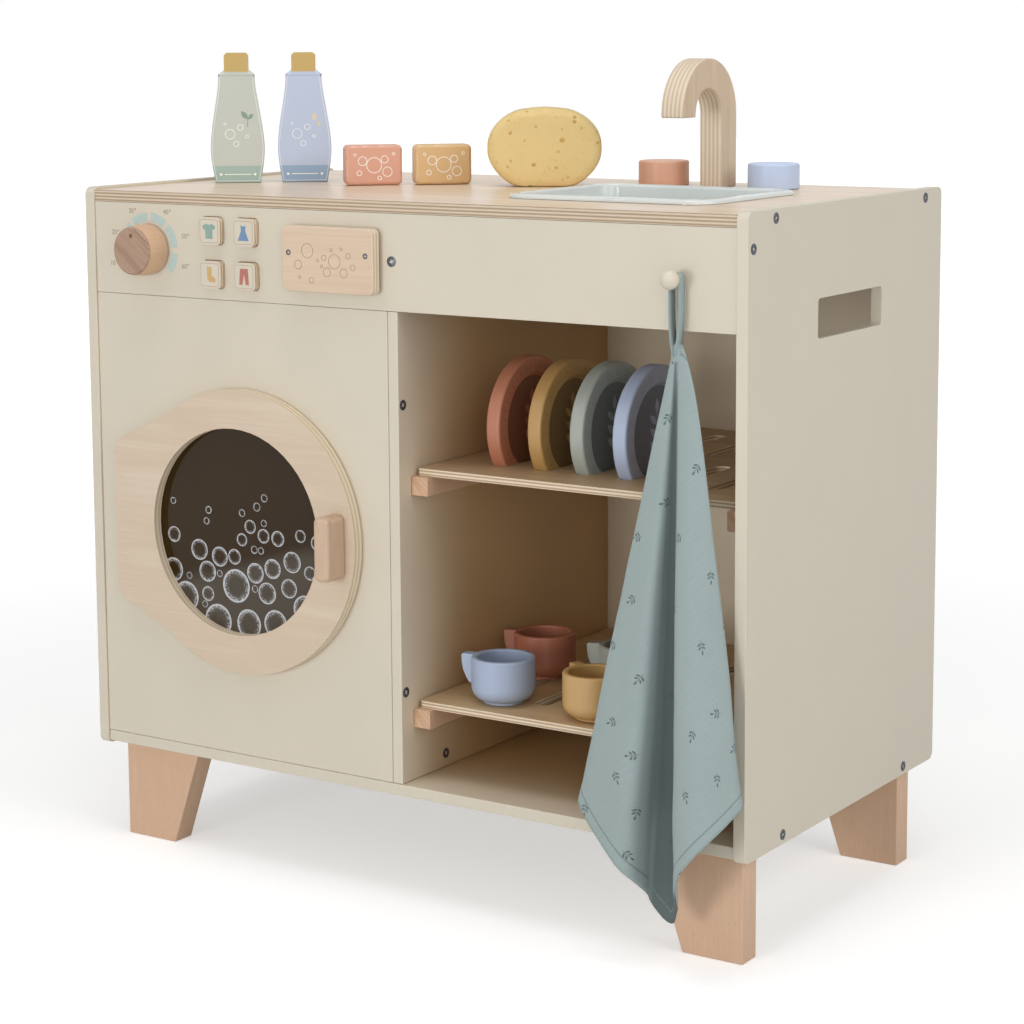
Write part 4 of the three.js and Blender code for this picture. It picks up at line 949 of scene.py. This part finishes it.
# %% Plates
RIM_WIDTH, SUNK = 13, 3
for node, colour, kind in (
    ("plate_terracotta", rgb(192, 126, 98), "strokes"),
    ("plate_mustard", rgb(192, 152, 94), "dots"),
    ("plate_sage", rgb(172, 178, 170), "scallops"),
    ("plate_blue", rgb(182, 196, 222), "scallops"),
):
    low, high, middle = box_of(node)
    radius, thick = (high.z - low.z) / 2 / MM, (high.x - low.x) / MM
    rim, floor_height = radius - RIM_WIDTH, thick - SUNK
    section = [(0, 0)] + arc(2, -90, 0, 6, radius - 2, 2) + arc(2, 0, 90, 6, radius - 2, thick - 2)
    section += [(rim + 0.6, thick), (rim, thick - 0.4), (rim - 2.6, thick - 2.6), (rim - 3.4, floor_height)]
    bm = turned(section + [(0, floor_height)], 72)
    for face in bm.faces:
        spot = face.calc_center_median()
        if spot.z > (floor_height - 0.2) * MM and math.hypot(spot.x, spot.y) < (rim - 2.8) * MM:
            face.material_index = 1
    bm.transform(Matrix.Translation((low.x, middle.y, middle.z)) @ Matrix.Rotation(math.pi / 2, 4, "Y"))
    outer = paint_material(node + " rim", colour, gloss=0.15)
    # Painted shade: the sunken middle gets a darker copy of the plate's colour
    inner = paint_material(node + " middle", darker(colour, 0.42), gloss=0.1)
    finish(node, bm, [outer, inner])
    marks = (("border", border(kind, radius - 6), 0, 0.66), ("plant", plant, SUNK, 0.8))
    for mark, shapes, sunk, share in marks:
        place = facing(high.x - sunk * MM, middle.y, middle.z, 90)
        printed(f"{node}_{mark}", shapes, place, ink(f"{node} {mark}", darker(colour, share)), node)

# %% [markdown]
# ## Cups
# The bowl of a cup is turned, and its flat ear is cut from board and glued on, with its top flush
# with the rim. Both are in one mesh: the ear's root lies inside the wall.

# %% Shape of a cup
CUP_RADIUS, CUP_REACH, CUP_TALL, EAR_TALL, EAR_THICK, EAR_ROOT = 24.4, 33.4, 35.7, 24, 8, 22.4
bowl = [(0, 0.4), (12.6, 0.4), (13, 0)] + arc(0.8, -90, 0, 4, 14.2, 0.8) + [(15, 2)]
bowl += arc(11, -76, 0, 10, CUP_RADIUS - 11, 13) + arc(1.6, 0, 90, 6, CUP_RADIUS - 1.6, CUP_TALL - 1.6)
bowl += arc(1.4, 90, 180, 6, CUP_RADIUS - 3, CUP_TALL - 1.4) + [(CUP_RADIUS - 4.4, 15)]
bowl += arc(7, 0, -90, 8, CUP_RADIUS - 11.4, 13) + [(0, 6)]
ear_outline = [(EAR_ROOT, CUP_TALL), (CUP_REACH - 1, CUP_TALL), (CUP_REACH, CUP_TALL - 1)]
ear_outline += [(CUP_REACH - 0.2, 29), (CUP_REACH - 1.2, 23.5), (CUP_REACH - 3.6, 18), (27.5, 14)]
ear_outline.append((EAR_ROOT, CUP_TALL - EAR_TALL))

# %% Cups
for node, material, ear_turn in (
    ("cup_blue", sky_blue, 190),
    ("cup_terracotta", terracotta, 195),
    ("cup_mustard", mustard, 150),
    ("cup_sage", sage, 200),
):
    bm = turned(bowl, 72)
    ear = bmesh.new()
    side = ear.faces.new([ear.verts.new((x * MM, -EAR_THICK / 2 * MM, z * MM)) for x, z in ear_outline])
    swept(ear, [side], (0, EAR_THICK * MM, 0))
    bmesh.ops.recalc_face_normals(ear, faces=ear.faces)
    soften(ear, 1.0, 3, 30)
    pour(ear, bm)
    # Every ear points to the left, so the right side of the box is the edge of the bowl
    low, high, middle = box_of(node)
    axis = Vector((high.x - CUP_RADIUS * MM, middle.y, low.z))
    bm.transform(Matrix.Translation(axis) @ Matrix.Rotation(math.radians(ear_turn), 4, "Z"))
    finish(node, bm, [material])
    print(node, "axis at", round(axis.x, 4), round(axis.y, 4))

# %% [markdown]
# ## The sink
# The basin is pressed enamelled steel. One rectangle with rounded corners is inset again and again,
# a little further in and up or down each time: over the rolled rim, down the wall and across the
# floor. The underside is made the same way, so the basin is one closed shell.

# %% Steps of an inset
def inset(bm, faces, width):
    """Draws a border of a width in millimetres inside the faces, and returns its faces."""
    way = {"use_boundary": True, "use_even_offset": True}
    return bmesh.ops.inset_region(bm, faces=faces, thickness=width * MM, **way)["faces"]


def stepped(bm, face, steps):
    """Insets a face once for each (inward, up) pair, in millimetres."""
    for inward, up in steps:
        inset(bm, [face], inward)
        bmesh.ops.translate(bm, verts=face.verts[:], vec=(0, 0, up * MM))


def quarter_steps(radius, count=6):
    """From straight down to level, as inset steps."""
    turns = arc(radius, 0, 90, count + 1)
    return [(x0 - x1, z0 - z1) for (x0, z0), (x1, z1) in zip(turns, turns[1:])]


# %% Sink basin
SINK_CORNER, RIM_HEIGHT, SHEET = 22 * MM, 3.5 * MM, 1.1 * MM
sink_low, sink_high, sink_middle = box_of("sink_basin")
bm = bmesh.new()
bmesh.ops.create_grid(bm, x_segments=1, y_segments=1, size=0.5)
bmesh.ops.scale(bm, verts=bm.verts, vec=(sink_high.x - sink_low.x, sink_high.y - sink_low.y, 1))
corner = {"offset": SINK_CORNER, "offset_type": "OFFSET", "segments": 10, "profile": 0.5}
bmesh.ops.bevel(bm, geom=bm.verts[:], affect="VERTICES", material=-1, **corner)
bmesh.ops.translate(bm, verts=bm.verts, vec=(sink_middle.x, sink_middle.y, sink_high.z - RIM_HEIGHT))
under = bm.faces[:][0]
raised = bmesh.ops.extrude_face_region(bm, geom=[under], use_keep_orig=True)
over = next(g for g in raised["geom"] if isinstance(g, bmesh.types.BMFace))
bmesh.ops.translate(bm, verts=over.verts[:], vec=(0, 0, SHEET))
rim = [(0.35, 1.0), (0.75, 0.75), (1.2, 0.4), (1.7, 0.25), (2.0, 0), (1.2, -0.3), (0.9, -0.8), (0.55, -1.5)]
wall = [(0.85, -12), (0.85, -12), (0.8, -11.4)]
stepped(bm, over, rim + wall + quarter_steps(8))
stepped(bm, under, [(6.4, -0.01), (0.8, -14), (0.8, -14), (0.6, -9.3)] + quarter_steps(7.4))
bmesh.ops.recalc_face_normals(bm, faces=bm.faces)
enamel, tree, shader = start_material("pale enamel", Roughness=0.22, Coat_Weight=0.4, Coat_Roughness=0.08)
pale = tint(tree, cloudy(tree, places(tree), 30.0), rgb(212, 218, 216), rgb(222, 227, 224))
feed(tree, shader, Base_Color=pale, Normal=bumped(tree, cloudy(tree, places(tree), 160.0, 2), 0.05, 0.0004))
finish("sink_basin", bm, [enamel])

# %% [markdown]
# ## Bottles and soap blocks
# These are sawn from board and printed. A copy of each bottle is cut by level planes, so that cap
# and foot band are faces of their own colour. The thin white line is an inset of the front face.

# %% Prints of the bottles
cap_brown = paint_material("cap ochre", rgb(194, 163, 95), gloss=0.1)
white_line = paint_material("white border", rgb(232, 234, 230), wear=0.0)
label = [bar(-11, 6.8, 11, 6.8, 0.7), circle(1.1, -14, 6.8, 12), circle(1.1, 14, 6.8, 12)]
label += [ring(r, 0.5, x, z, 20) for x, z, r in ((-6, 40, 4.2), (2.5, 45.5, 2.6), (-1, 32, 2.4))]
label += [ring(1.5, 0.45, 8, 38, 16), ring(1.1, 0.4, -10, 48.5, 16)]
sprout = [leaf(9, 52, 128, 9, 4.2), leaf(9, 52, 48, 6.5, 3.2), bar(9, 52.6, 8.4, 46, 0.6)]
drops = [leaf(8.5, 50, 90, 7.5, 4), leaf(12.2, 45.5, 90, 5, 2.8)]
leaf_green, sand_ink = ink("leaf ink", rgb(124, 146, 128)), ink("sand ink", rgb(214, 196, 170))


def out_of(degrees):
    """The way that a print with this turn faces."""
    return facing(0, 0, 0, degrees).to_3x3() @ Vector((0, 0, 1))


# %% Bottles
BOTTLE_TURN, BOTTLE_HALF, BAND_TOP, CAP_FOOT = 37, 5, 13.6, 92.5
PRINT_THICK = 0.06
for node, body_colour, band_colour, extra, shapes, extra_ink in (
    ("bottle_softener", rgb(192, 196, 186), rgb(160, 182, 172), "_sprout", sprout, leaf_green),
    ("bottle_detergent", rgb(184, 196, 218), rgb(146, 170, 198), "_drops", drops, sand_ink),
):
    low, high, middle = box_of(node)
    bm = copy_of(node)
    for height in (BAND_TOP, CAP_FOOT):
        cut = Vector((middle.x, middle.y, low.z + height * MM))
        geometry = bm.verts[:] + bm.edges[:] + bm.faces[:]
        bmesh.ops.bisect_plane(bm, geom=geometry, plane_co=cut, plane_no=(0, 0, 1), dist=1e-6)
    bm.normal_update()
    soften(bm, 0.7, 2, 50)
    for face in bm.faces:
        height = (face.calc_center_median().z - low.z) / MM
        face.material_index = 2 if height > CAP_FOOT else 1 if height < BAND_TOP else 0
    out = out_of(BOTTLE_TURN)
    for way in (out, -out):
        front = [f for f in bm.faces if f.normal.dot(way) > 0.99]
        inset(bm, front, 0.9)
        for face in inset(bm, front, 0.4):
            if face.material_index != 2:
                face.material_index = 3
    paints = (("paint", body_colour), ("band", band_colour))
    coats = [paint_material(f"{node} {part}", colour, wear=0.15, gloss=0.1) for part, colour in paints]
    finish(node, bm, [*coats, cap_brown, white_line])
    spot = middle + out * BOTTLE_HALF * MM
    place = facing(spot.x, spot.y, low.z, BOTTLE_TURN)
    printed(node + "_foam", label, place, white_ink, node, PRINT_THICK)
    printed(node + extra, shapes, place, extra_ink, node, PRINT_THICK)

# %% Soap blocks
SOAP_TURN, SOAP_HALF = 44, 10
lather = ((0, 0, 6.4), (8.6, 4.6, 3.2), (-9.4, 3.4, 3.8), (-12.2, -6.4, 2.2))
lather += ((10.8, -5.4, 4.1), (4.4, -10.4, 1.8))
shapes = [ring(r, 0.55, x, z, 28) for x, z, r in lather]
shapes += [ring(1.2, 0.45, -15.5, 8.5, 16), ring(1.3, 0.5, 16, 9, 16)]
for node, colour in (("soap_block_left", rgb(216, 160, 136)), ("soap_block_right", rgb(216, 178, 126))):
    bm = copy_of(node)
    soften(bm, 1.3, 3, 30)
    finish(node, bm, [paint_material(node + " paint", colour, wear=0.2, gloss=0.15)])
    spot = box_of(node)[2] + out_of(SOAP_TURN) * SOAP_HALF * MM
    printed(node + "_rings", shapes, facing(*spot, SOAP_TURN), white_ink, node, PRINT_THICK)

# %% [markdown]
# ## The sponge
# A sponge is foam: soft round edges, a fine grain and many pits. Its solid is remeshed into an even
# net of small faces and rounded to an oval that still stands on a flat foot. Then each pit, at a
# seeded random place, pushes the points round it inwards.

# %% An even net, rounded to an oval
bm = copy_of("sponge")
soften(bm, 4, 4, 40)
mesh = bpy.data.meshes.new("sponge solid")
bm.to_mesh(mesh)
bm.free()
holder = bpy.data.objects.new("sponge solid", mesh)
remesh = holder.modifiers.new("even net", "REMESH")
remesh.mode, remesh.voxel_size = "VOXEL", 0.85 * MM
net = mesh_of(holder)
bm = bmesh.new()
bm.from_mesh(net)
for used in (mesh, net):
    bpy.data.meshes.remove(used)
for _ in range(4):
    bmesh.ops.smooth_vert(bm, verts=bm.verts, factor=0.6, use_axis_x=True, use_axis_y=True, use_axis_z=True)
SPONGE_ANGLE, SPONGE_HALF, OVAL, FLAT_FOOT = math.radians(32), 0.04575, 0.17, 0.35
sponge_middle = box_of("sponge")[2]
for vert in bm.verts:
    away = vert.co - sponge_middle
    aside = abs(away.x * math.cos(SPONGE_ANGLE) + away.y * math.sin(SPONGE_ANGLE)) / SPONGE_HALF
    foot = FLAT_FOOT if away.z < 0 else 0.0
    rounding = max(0.0, (aside - foot) / (1 - foot)) ** 1.35
    vert.co.z = sponge_middle.z + away.z * (1 - OVAL * rounding)
bm.normal_update()

# %% Pits
bm.verts.ensure_lookup_table()
points = KDTree(len(bm.verts))
for vert in bm.verts:
    points.insert(vert.co, vert.index)
points.balance()
FOAM_GRAIN, FOAM_GRAIN_HEIGHT = 900, 0.12 * MM
chance = random.Random(11)
push = [0.0] * len(bm.verts)
pit_shade_layer = bm.verts.layers.float.new("pit")
for radius, depth, count in ((1.9, 1.5, 16), (1.2, 0.9, 60), (0.85, 0.45, 240)):
    for pit in range(count):
        centre = bm.verts[chance.randrange(len(bm.verts))].co
        reach = radius * chance.uniform(0.7, 1.2) * MM
        for _, index, distance in points.find_range(centre, reach):
            push[index] = max(push[index], depth * MM * (1 - (distance / reach) ** 2))
for vert in bm.verts:
    grain_push = noise.noise(vert.co * FOAM_GRAIN) * FOAM_GRAIN_HEIGHT
    # The pit attribute is how deep a point is pushed in; the foam uses it for painted shade
    vert[pit_shade_layer] = min(1.0, push[vert.index] / MM)
    vert.co -= vert.normal * (push[vert.index] + grain_push)

# %% Foam
foam, tree, shader = start_material(
    "yellow foam",
    Roughness=0.9,
    Subsurface_Weight=0.25,
    Subsurface_Scale=0.004,
    Subsurface_Radius=(1.0, 0.8, 0.5),
)
yellow = tint(tree, cloudy(tree, places(tree), 60.0, 4, 0.6), rgb(233, 208, 150), rgb(223, 196, 136))
# Painted shade: the pits are painted darker, as shade in the hollows
yellow = tint(tree, times(tree, attribute(tree, "pit"), 0.8), yellow, rgb(206, 164, 88))
feed(tree, shader, Base_Color=yellow, Normal=bumped(tree, cloudy(tree, places(tree), 1500.0, 2), 0.4, 0.0004))
sponge = finish("sponge", bm, [foam], weighted=False)

# %% [markdown]
# ## The towel
# A square of cloth that hangs by one corner can't stretch, so its folds all run to that corner: it
# is a cone. Its cross-section at unit depth is one curve, given here as points (aside, back). A
# point of the flat square has a distance from the corner and an angle. The angle picks the place
# on the curve and the distance says how far down it lies. Some points carry an angle of the flat
# cloth, in degrees from its diagonal, and the cloth between two of them is shared out evenly.

# %% Cross-section of the folds
STEPS_PER_POINT = 24


def smooth_path(points):
    """A curve through all the points."""
    out = []
    ended = [points[0]] + points + [points[-1]]
    for a, b, c, d in zip(ended, ended[1:], ended[2:], ended[3:]):
        for t in (i / STEPS_PER_POINT for i in range(STEPS_PER_POINT)):
            out.append(
                tuple(
                    0.5 * (2 * b[k] + (c[k] - a[k]) * t + (2 * a[k] - 5 * b[k] + 4 * c[k] - d[k]) * t ** 2)
                    + 0.5 * (3 * b[k] - a[k] - 3 * c[k] + d[k]) * t ** 3
                    for k in (0, 1)
                )
            )
    return out + [points[-1]]


fold_points = [
    (0.035, 0.046, -45), (-0.1, 0.048), (-0.19, 0.043), (-0.197, 0.034), (-0.13, 0.026), (-0.08, 0.021),
    (-0.083, 0.014), (-0.14, 0.009), (-0.219, 0.006), (-0.229, -0.008, -14.3), (-0.212, -0.024),
    (-0.15, -0.044), (-0.1, -0.056), (-0.074, -0.048, -5.6), (-0.062, -0.02), (-0.054, 0.012),
    (-0.036, 0.032), (-0.012, 0.033, 0.0), (0.0, 0.004), (0.016, -0.036), (0.034, -0.068, 6.5),
    (0.054, -0.081), (0.088, -0.083), (0.128, -0.064), (0.158, -0.032), (0.165, -0.014, 20.5),
    (0.15, -0.002), (0.08, 0.006), (0.026, 0.012), (0.029, 0.02), (0.1, 0.026), (0.118, 0.033),
    (0.06, 0.04), (0.0, 0.038, 45),
]
path = smooth_path([p[:2] for p in fold_points])
directions = [Vector((a, b, -1)).normalized() for a, b in path]
run = [0.0]
for one, other in zip(directions, directions[1:]):
    run.append(run[-1] + one.angle(other, 0))
print("cross-section turns", round(math.degrees(run[-1]), 1), "degrees for a right angle of cloth")

# %% From the angle of the flat cloth to the curve
anchors = [(run[i * STEPS_PER_POINT], p[2]) for i, p in enumerate(fold_points) if len(p) == 3]
angle_at, span = [], 0
for length in run:
    while span < len(anchors) - 2 and length > anchors[span + 1][0]:
        span += 1
    (start, low_angle), (end, high_angle) = anchors[span : span + 2]
    angle_at.append(low_angle + (high_angle - low_angle) * (length - start) / (end - start))


def fold_at(angle):
    i = min(max(bisect.bisect_left(angle_at, angle), 1), len(path) - 1)
    share = (angle - angle_at[i - 1]) / max(1e-9, angle_at[i] - angle_at[i - 1])
    (ax, ay), (bx, by) = path[i - 1], path[i]
    return ax + (bx - ax) * share, ay + (by - ay) * share


# %% [markdown]
# ### The flat cloth
# The net of the cloth is a fan: one way it runs from the corner to the far edges, the other way
# round the corner. So its lines lie along the folds, and no fold has a stepped edge. The three free
# corners are rounded by moving their points onto a small circle.

# %% Flat cloth
CLOTH, CORNER = 0.300, 0.008
CELLS_DOWN, CELLS_ROUND, NECK = 120, 240, 0.03
TOWEL_APEX = Vector((0.2475, -0.1500, 0.4550))


def write_map(bm, place_of):
    """The UV map of the cloth, from a function of the vertex."""
    layer = bm.loops.layers.uv.new("flat")
    for face in bm.faces:
        for loop in face.loops:
            loop[layer].uv = place_of(loop.vert)


bm = bmesh.new()
bmesh.ops.create_grid(bm, x_segments=CELLS_DOWN, y_segments=CELLS_ROUND, size=0.5)
flat_place = []
for vert in bm.verts:
    turn = (vert.co.y + 0.5) * math.pi / 2
    reach = (NECK + (1 - NECK) * (vert.co.x + 0.5)) * CLOTH / max(math.cos(turn), math.sin(turn))
    u, v = reach * math.cos(turn), reach * math.sin(turn)
    for sign_u, sign_v in ((-1, 1), (1, -1), (1, 1)):
        near_u, near_v = (CORNER if sign < 0 else CLOTH - CORNER for sign in (sign_u, sign_v))
        away = Vector(((u - near_u) * sign_u, (v - near_v) * sign_v))
        if min(away) > 0:
            away *= max(away) / away.length
            u, v = near_u + away.x * sign_u, near_v + away.y * sign_v
    flat_place.append((u, v))
write_map(bm, lambda vert: flat_place[vert.index])

# %% [markdown]
# ### Hanging it up
# Each point goes to its place on the cone. The folds at the back are pressed flat against the
# cabinet, the right half is a little narrower lower down, and a slow noise makes the cloth sag. It
# leans forward a little, so that it clears the side panel when it swings.

# %% Hanging cloth
LEAN, ASIDE_LEAN = 0.026, 0.65
RIGHT_SPREAD, NECK_SPREAD, NECK_DEPTH = 0.81, 0.066, 0.025
BACK_PRESS, PRESS_FROM, HEM_PRESS = 0.7, 0.33, 0.35
VALLEY_ANGLE, VALLEY_HALF = 0.9, 5.2
HEM, HEM_STEP = 0.0105, 0.003
hem_layer = bm.verts.layers.float.new("hem")
valley_shade_layer = bm.verts.layers.float.new("fold")
for vert, (u, v) in zip(bm.verts, flat_place):
    down, angle = math.hypot(u, v), math.degrees(math.atan2(v, u)) - 45
    aside, back = fold_at(angle)
    depth = down / math.sqrt(1 + aside ** 2 + back ** 2)
    sag = noise.noise(Vector((u * 14, v * 14, 3))) * 0.012 + noise.noise(Vector((u * 40, v * 40, 9))) * 0.0015
    across = aside * depth
    if aside > 0:
        across = RIGHT_SPREAD * across + NECK_SPREAD * aside * (1 - math.exp(-depth / NECK_DEPTH))
    across += LEAN * ASIDE_LEAN * depth
    if back > 0:
        pressed = 1 if depth < PRESS_FROM else max(HEM_PRESS, 1 - (depth - PRESS_FROM) / 0.04)
        spread = BACK_PRESS * back * min(depth, PRESS_FROM) * pressed + sag * depth * 0.4
    else:
        spread = back * (0.6 + 0.4 * min(1, depth / 0.2)) * depth + sag * depth
    vert.co = TOWEL_APEX + Vector((across, spread - LEAN * depth, -depth))
    # Painted shade: the fold attribute marks the deep valley, where the cloth is painted darker
    valley_shade = max(0.0, 1 - abs(angle - VALLEY_ANGLE) / VALLEY_HALF)
    vert[valley_shade_layer] = min(1.0, valley_shade * 2.2) * min(1.0, depth / 0.05)
    turned_in = min(1.0, max(0.0, (HEM - min(u, v, CLOTH - u, CLOTH - v)) / HEM_STEP))
    vert[hem_layer] = min(1, depth / 0.1) * (0.5 + 0.5 * turned_in)
bm.normal_update()
for word, furthest in (("reaches", max), ("starts", min)):
    print("towel", word, [round(furthest(v.co[i] for v in bm.verts), 4) for i in range(3)])

# %% [markdown]
# ### Sprouts on the cloth
# The print repeats in a loose grid. Voronoi cells give each sprout its middle and a random turn.
# Round that middle, leaves are ellipses: the sum of two squares is below one inside them.

# %% Group: sprout print
sprouts, s_in, s_out = new_group("sprout print", {"Vector": VECTOR, "Pitch": NUMBER}, {"Mask": NUMBER})
per_metre = sums(sprouts, "DIVIDE", 1.0, s_in["Pitch"])
grid = {"Vector": s_in["Vector"], "Scale": per_metre, "Randomness": 0.5}
cells = add(sprouts, "TexVoronoi", grid, voronoi_dimensions="2D", feature="F1").outputs
away = add(sprouts, "VectorMath", {0: s_in["Vector"], 1: cells["Position"]}, operation="SUBTRACT").outputs[0]
turn = times(sprouts, add(sprouts, "SeparateColor", {0: cells["Color"]}).outputs[0], 2.2)
away = add(sprouts, "VectorRotate", {"Vector": away, "Angle": turn}, rotation_type="Z_AXIS").outputs[0]
away = axes(sprouts, away)
beside, along = sums(sprouts, "ABSOLUTE", away[0]), away[1]
mask = 0.0
for middle_x, middle_y, tilt, long_half, short_half in (
    (0.0, -0.0004, 90, 0.0044, 0.00024),
    (0.0019, -0.0014, 34, 0.0017, 0.00075),
    (0.0018, 0.0010, 40, 0.0016, 0.0007),
    (0.0, 0.0044, 90, 0.0016, 0.0008),
):
    c, s = math.cos(math.radians(tilt)), math.sin(math.radians(tilt))
    dx, dy = minus(sprouts, beside, middle_x), minus(sprouts, along, middle_y)
    lengthwise, crosswise = (
        sums(sprouts, "MULTIPLY_ADD", dx, p / half, times(sprouts, dy, q / half))
        for p, q, half in ((c, s, long_half), (-s, c, short_half))
    )
    inside = plus(sprouts, times(sprouts, lengthwise, lengthwise), times(sprouts, crosswise, crosswise))
    mask = sums(sprouts, "MAXIMUM", mask, between(sprouts, inside, 1.1, 0.8))
feed(sprouts, s_out, Mask=mask)

# %% Cloth material
THREAD, SPROUT_PITCH, SEAM, STITCH = 0.0007, 0.036, 0.0082, 0.0034


def cloth_material(name, raised=rgb(184, 196, 194), with_print=False):
    material, tree, shader = start_material(name, Roughness=0.95, Sheen_Weight=0.1, Sheen_Roughness=0.5)
    flat = on_map(tree, "flat")
    threads = use(tree, weave, Vector=flat, Pitch=THREAD)
    cloth = tint(tree, threads["Shade"], rgb(150, 166, 165), rgb(157, 172, 171))
    # Painted highlight: the tops of the threads are painted lighter
    cloth = tint(tree, times(tree, threads["Height"], 0.15), cloth, raised)
    relief = times(tree, threads["Height"], 0.3)
    if with_print:
        printed_mask = use(tree, sprouts, Vector=flat, Pitch=SPROUT_PITCH)["Mask"]
        cloth = tint(tree, times(tree, printed_mask, 0.85), cloth, rgb(84, 98, 98))
        # Painted shade: the cloth turns dark in the deep fold
        cloth = tint(tree, times(tree, attribute(tree, "fold"), 0.9), cloth, rgb(82, 95, 94))
        on_flat = axes(tree, flat)
        near = [sums(tree, "MINIMUM", on_flat[i], minus(tree, CLOTH, on_flat[i])) for i in (0, 1)]
        seam = sums(tree, "ABSOLUTE", minus(tree, sums(tree, "MINIMUM", *near), SEAM))
        dash = sums(tree, "FRACT", sums(tree, "DIVIDE", plus(tree, on_flat[0], on_flat[1]), STITCH))
        groove = between(tree, seam, 0.0011, 0.0002)
        stitch = times(tree, between(tree, seam, 0.0005, 0.0003), sums(tree, "LESS_THAN", dash, 0.68))
        # Painted shade: the groove of the hem seam is painted darker
        cloth = tint(tree, times(tree, groove, 0.35), cloth, rgb(104, 120, 120))
        cloth = tint(tree, times(tree, stitch, 0.8), cloth, rgb(120, 138, 138))
        relief = minus(tree, relief, times(tree, groove, 2.0))
    feed(tree, shader, Base_Color=cloth, Normal=bumped(tree, relief, 0.5, 0.0004))
    return material


def thicken(piece, thickness):
    solidify = piece.modifiers.new("cloth thickness", "SOLIDIFY")
    solidify.thickness, solidify.offset = thickness, 0.0
    return solidify


# %% Towel
front = cloth_material("printed cloth", with_print=True)
reverse = cloth_material("cloth reverse", rgb(206, 214, 214))
towel = finish("towel", bm, [front, reverse], weighted=False, name="towel_cloth")
group = towel.vertex_groups.new(name="thickness")
for index, value in enumerate(towel.data.attributes["hem"].data):
    group.add([index], value.value, "REPLACE")
solidify = thicken(towel, 1.7 * MM)
solidify.vertex_group, solidify.thickness_vertex_group = "thickness", 0.15
solidify.material_offset = 1

# %% [markdown]
# ### The loop and the neck
# A tape is folded over the peg, and both its ends are sewn to the gathered corner. The wrap at the
# neck is the corner itself, pulled tight.

# %% Loop
TAPE_FRONT, TAPE_WIDTH, PEG_WRAP = -153.3, 8.6, 3.7
tape_cloth = cloth_material("tape cloth")
loop_points = [(246.4, 438), (245.0, 444), (243.9, 452), (243.3, 464), (243.1, 478), (243.2, 488)]
loop_points += arc(PEG_WRAP, 172, 4, 13, peg_middle.x / MM, peg_middle.z / MM)
loop_points += [(250.6, 487), (250.9, 476), (250.5, 464), (249.6, 452), (248.6, 444), (247.4, 438)]
bm = bmesh.new()
strip = [bm.verts.new((x * MM, TAPE_FRONT * MM, z * MM)) for x, z in loop_points]
lines = [bm.edges.new(pair) for pair in zip(strip, strip[1:])]
pulled = bmesh.ops.extrude_edge_only(bm, edges=lines)
bmesh.ops.translate(bm, verts=new_points(pulled), vec=(0, TAPE_WIDTH * MM, 0))
write_map(bm, lambda vert: (vert.co.z + vert.co.x, vert.co.y))
bmesh.ops.recalc_face_normals(bm, faces=bm.faces)
thicken(finish("towel_loop", bm, [tape_cloth], weighted=False, name="towel_loop_tape"), 1.0 * MM)

# %% Neck
bm = turned([(0, -9)] + arc(2.4, -80, 0, 5, 2.6, -5.5) + arc(2.6, 0, 80, 6, 1.6, 2.5) + [(0, 5.4)], 40)
for vert in bm.verts:
    turn = math.atan2(vert.co.y, vert.co.x)
    vert.co *= 1 + 0.05 * math.sin(turn * 7 + vert.co.z * 600)
write_map(bm, lambda vert: (vert.co.x + vert.co.y, vert.co.z))
neck_middle = TOWEL_APEX + Vector((0.0002, 0.0015, -0.0135))
bm.transform(Matrix.Translation(neck_middle) @ Matrix.Diagonal((1, 0.85, 1, 1)))
bm.normal_update()
make_piece("towel_neck", bm, [tape_cloth], body_of["towel"])

# %% [markdown]
# ## Stage and light
# The floor and backdrop are white for the camera only, and the lamps are soft and plain. Each lamp
# has an azimuth and an elevation in degrees, its own size and its power.

# %% Lamps
LAMP_DISTANCE, AIM = 2.6, Vector((0, 0, 0.3))
for name, azimuth, elevation, size, power in (
    ("key lamp", -38, 38, 1.4, 6),
    ("low lamp", -6, 5, 0.7, 17),
    ("front lamp", 38, 12, 1.2, 9),
    ("side lamp", 82, 26, 1.4, 19),
    ("top lamp", 10, 80, 1.6, 25),
):
    data = bpy.data.lights.new(name, "AREA")
    data.shape, data.size, data.energy = "SQUARE", size, power
    a, e = math.radians(azimuth), math.radians(elevation)
    away = Vector((math.sin(a) * math.cos(e), -math.cos(a) * math.cos(e), math.sin(e)))
    lamp = bpy.data.objects.new(name, data)
    turn = away.to_track_quat("Z", "Y").to_matrix().to_4x4()
    lamp.matrix_world = Matrix.Translation(AIM + away * LAMP_DISTANCE) @ turn
    scene.collection.objects.link(lamp)
print("lamps:", len(bpy.data.lights))


# %% World and floor
def white_rays(tree):
    """1 for what the camera sees, also in a reflection or through glass."""
    rays = add(tree, "LightPath").outputs
    mirrored = sums(tree, "MAXIMUM", rays["Is Glossy Ray"], rays["Is Transmission Ray"])
    return sums(tree, "MAXIMUM", rays["Is Camera Ray"], mirrored)


WORLD_LIGHT = 0.22
world = bpy.data.worlds.new("white room")
scene.world = world
world.use_nodes = True
tree = world.node_tree
background = tree.nodes["Background"].inputs
background["Color"].default_value = (1, 1, 1, 1)
feed(tree, background, Strength=plus(tree, times(tree, white_rays(tree), 1 - WORLD_LIGHT), WORLD_LIGHT))

bm = bmesh.new()
bmesh.ops.create_grid(bm, x_segments=1, y_segments=1, size=12)
floor_mesh = bpy.data.meshes.new("floor")
bm.to_mesh(floor_mesh)
bm.free()
floor = bpy.data.objects.new("floor", floor_mesh)
scene.collection.objects.link(floor)
floor_paint, tree, shader = start_material(
    "floor",
    Roughness=0.9,
    Specular_IOR_Level=0.1,
    Base_Color=(0.8, 0.8, 0.8, 1),
    Emission_Color=(1, 1, 1, 1),
)
far = between(tree, reach_of(tree, places(tree)), 0.5, 2.6)
glow = plus(tree, times(tree, far, 0.5), 0.45)
feed(tree, shader, Emission_Strength=times(tree, white_rays(tree), glow))
floor_mesh.materials.append(floor_paint)

# %% View settings
scene.view_settings.view_transform = "Standard"
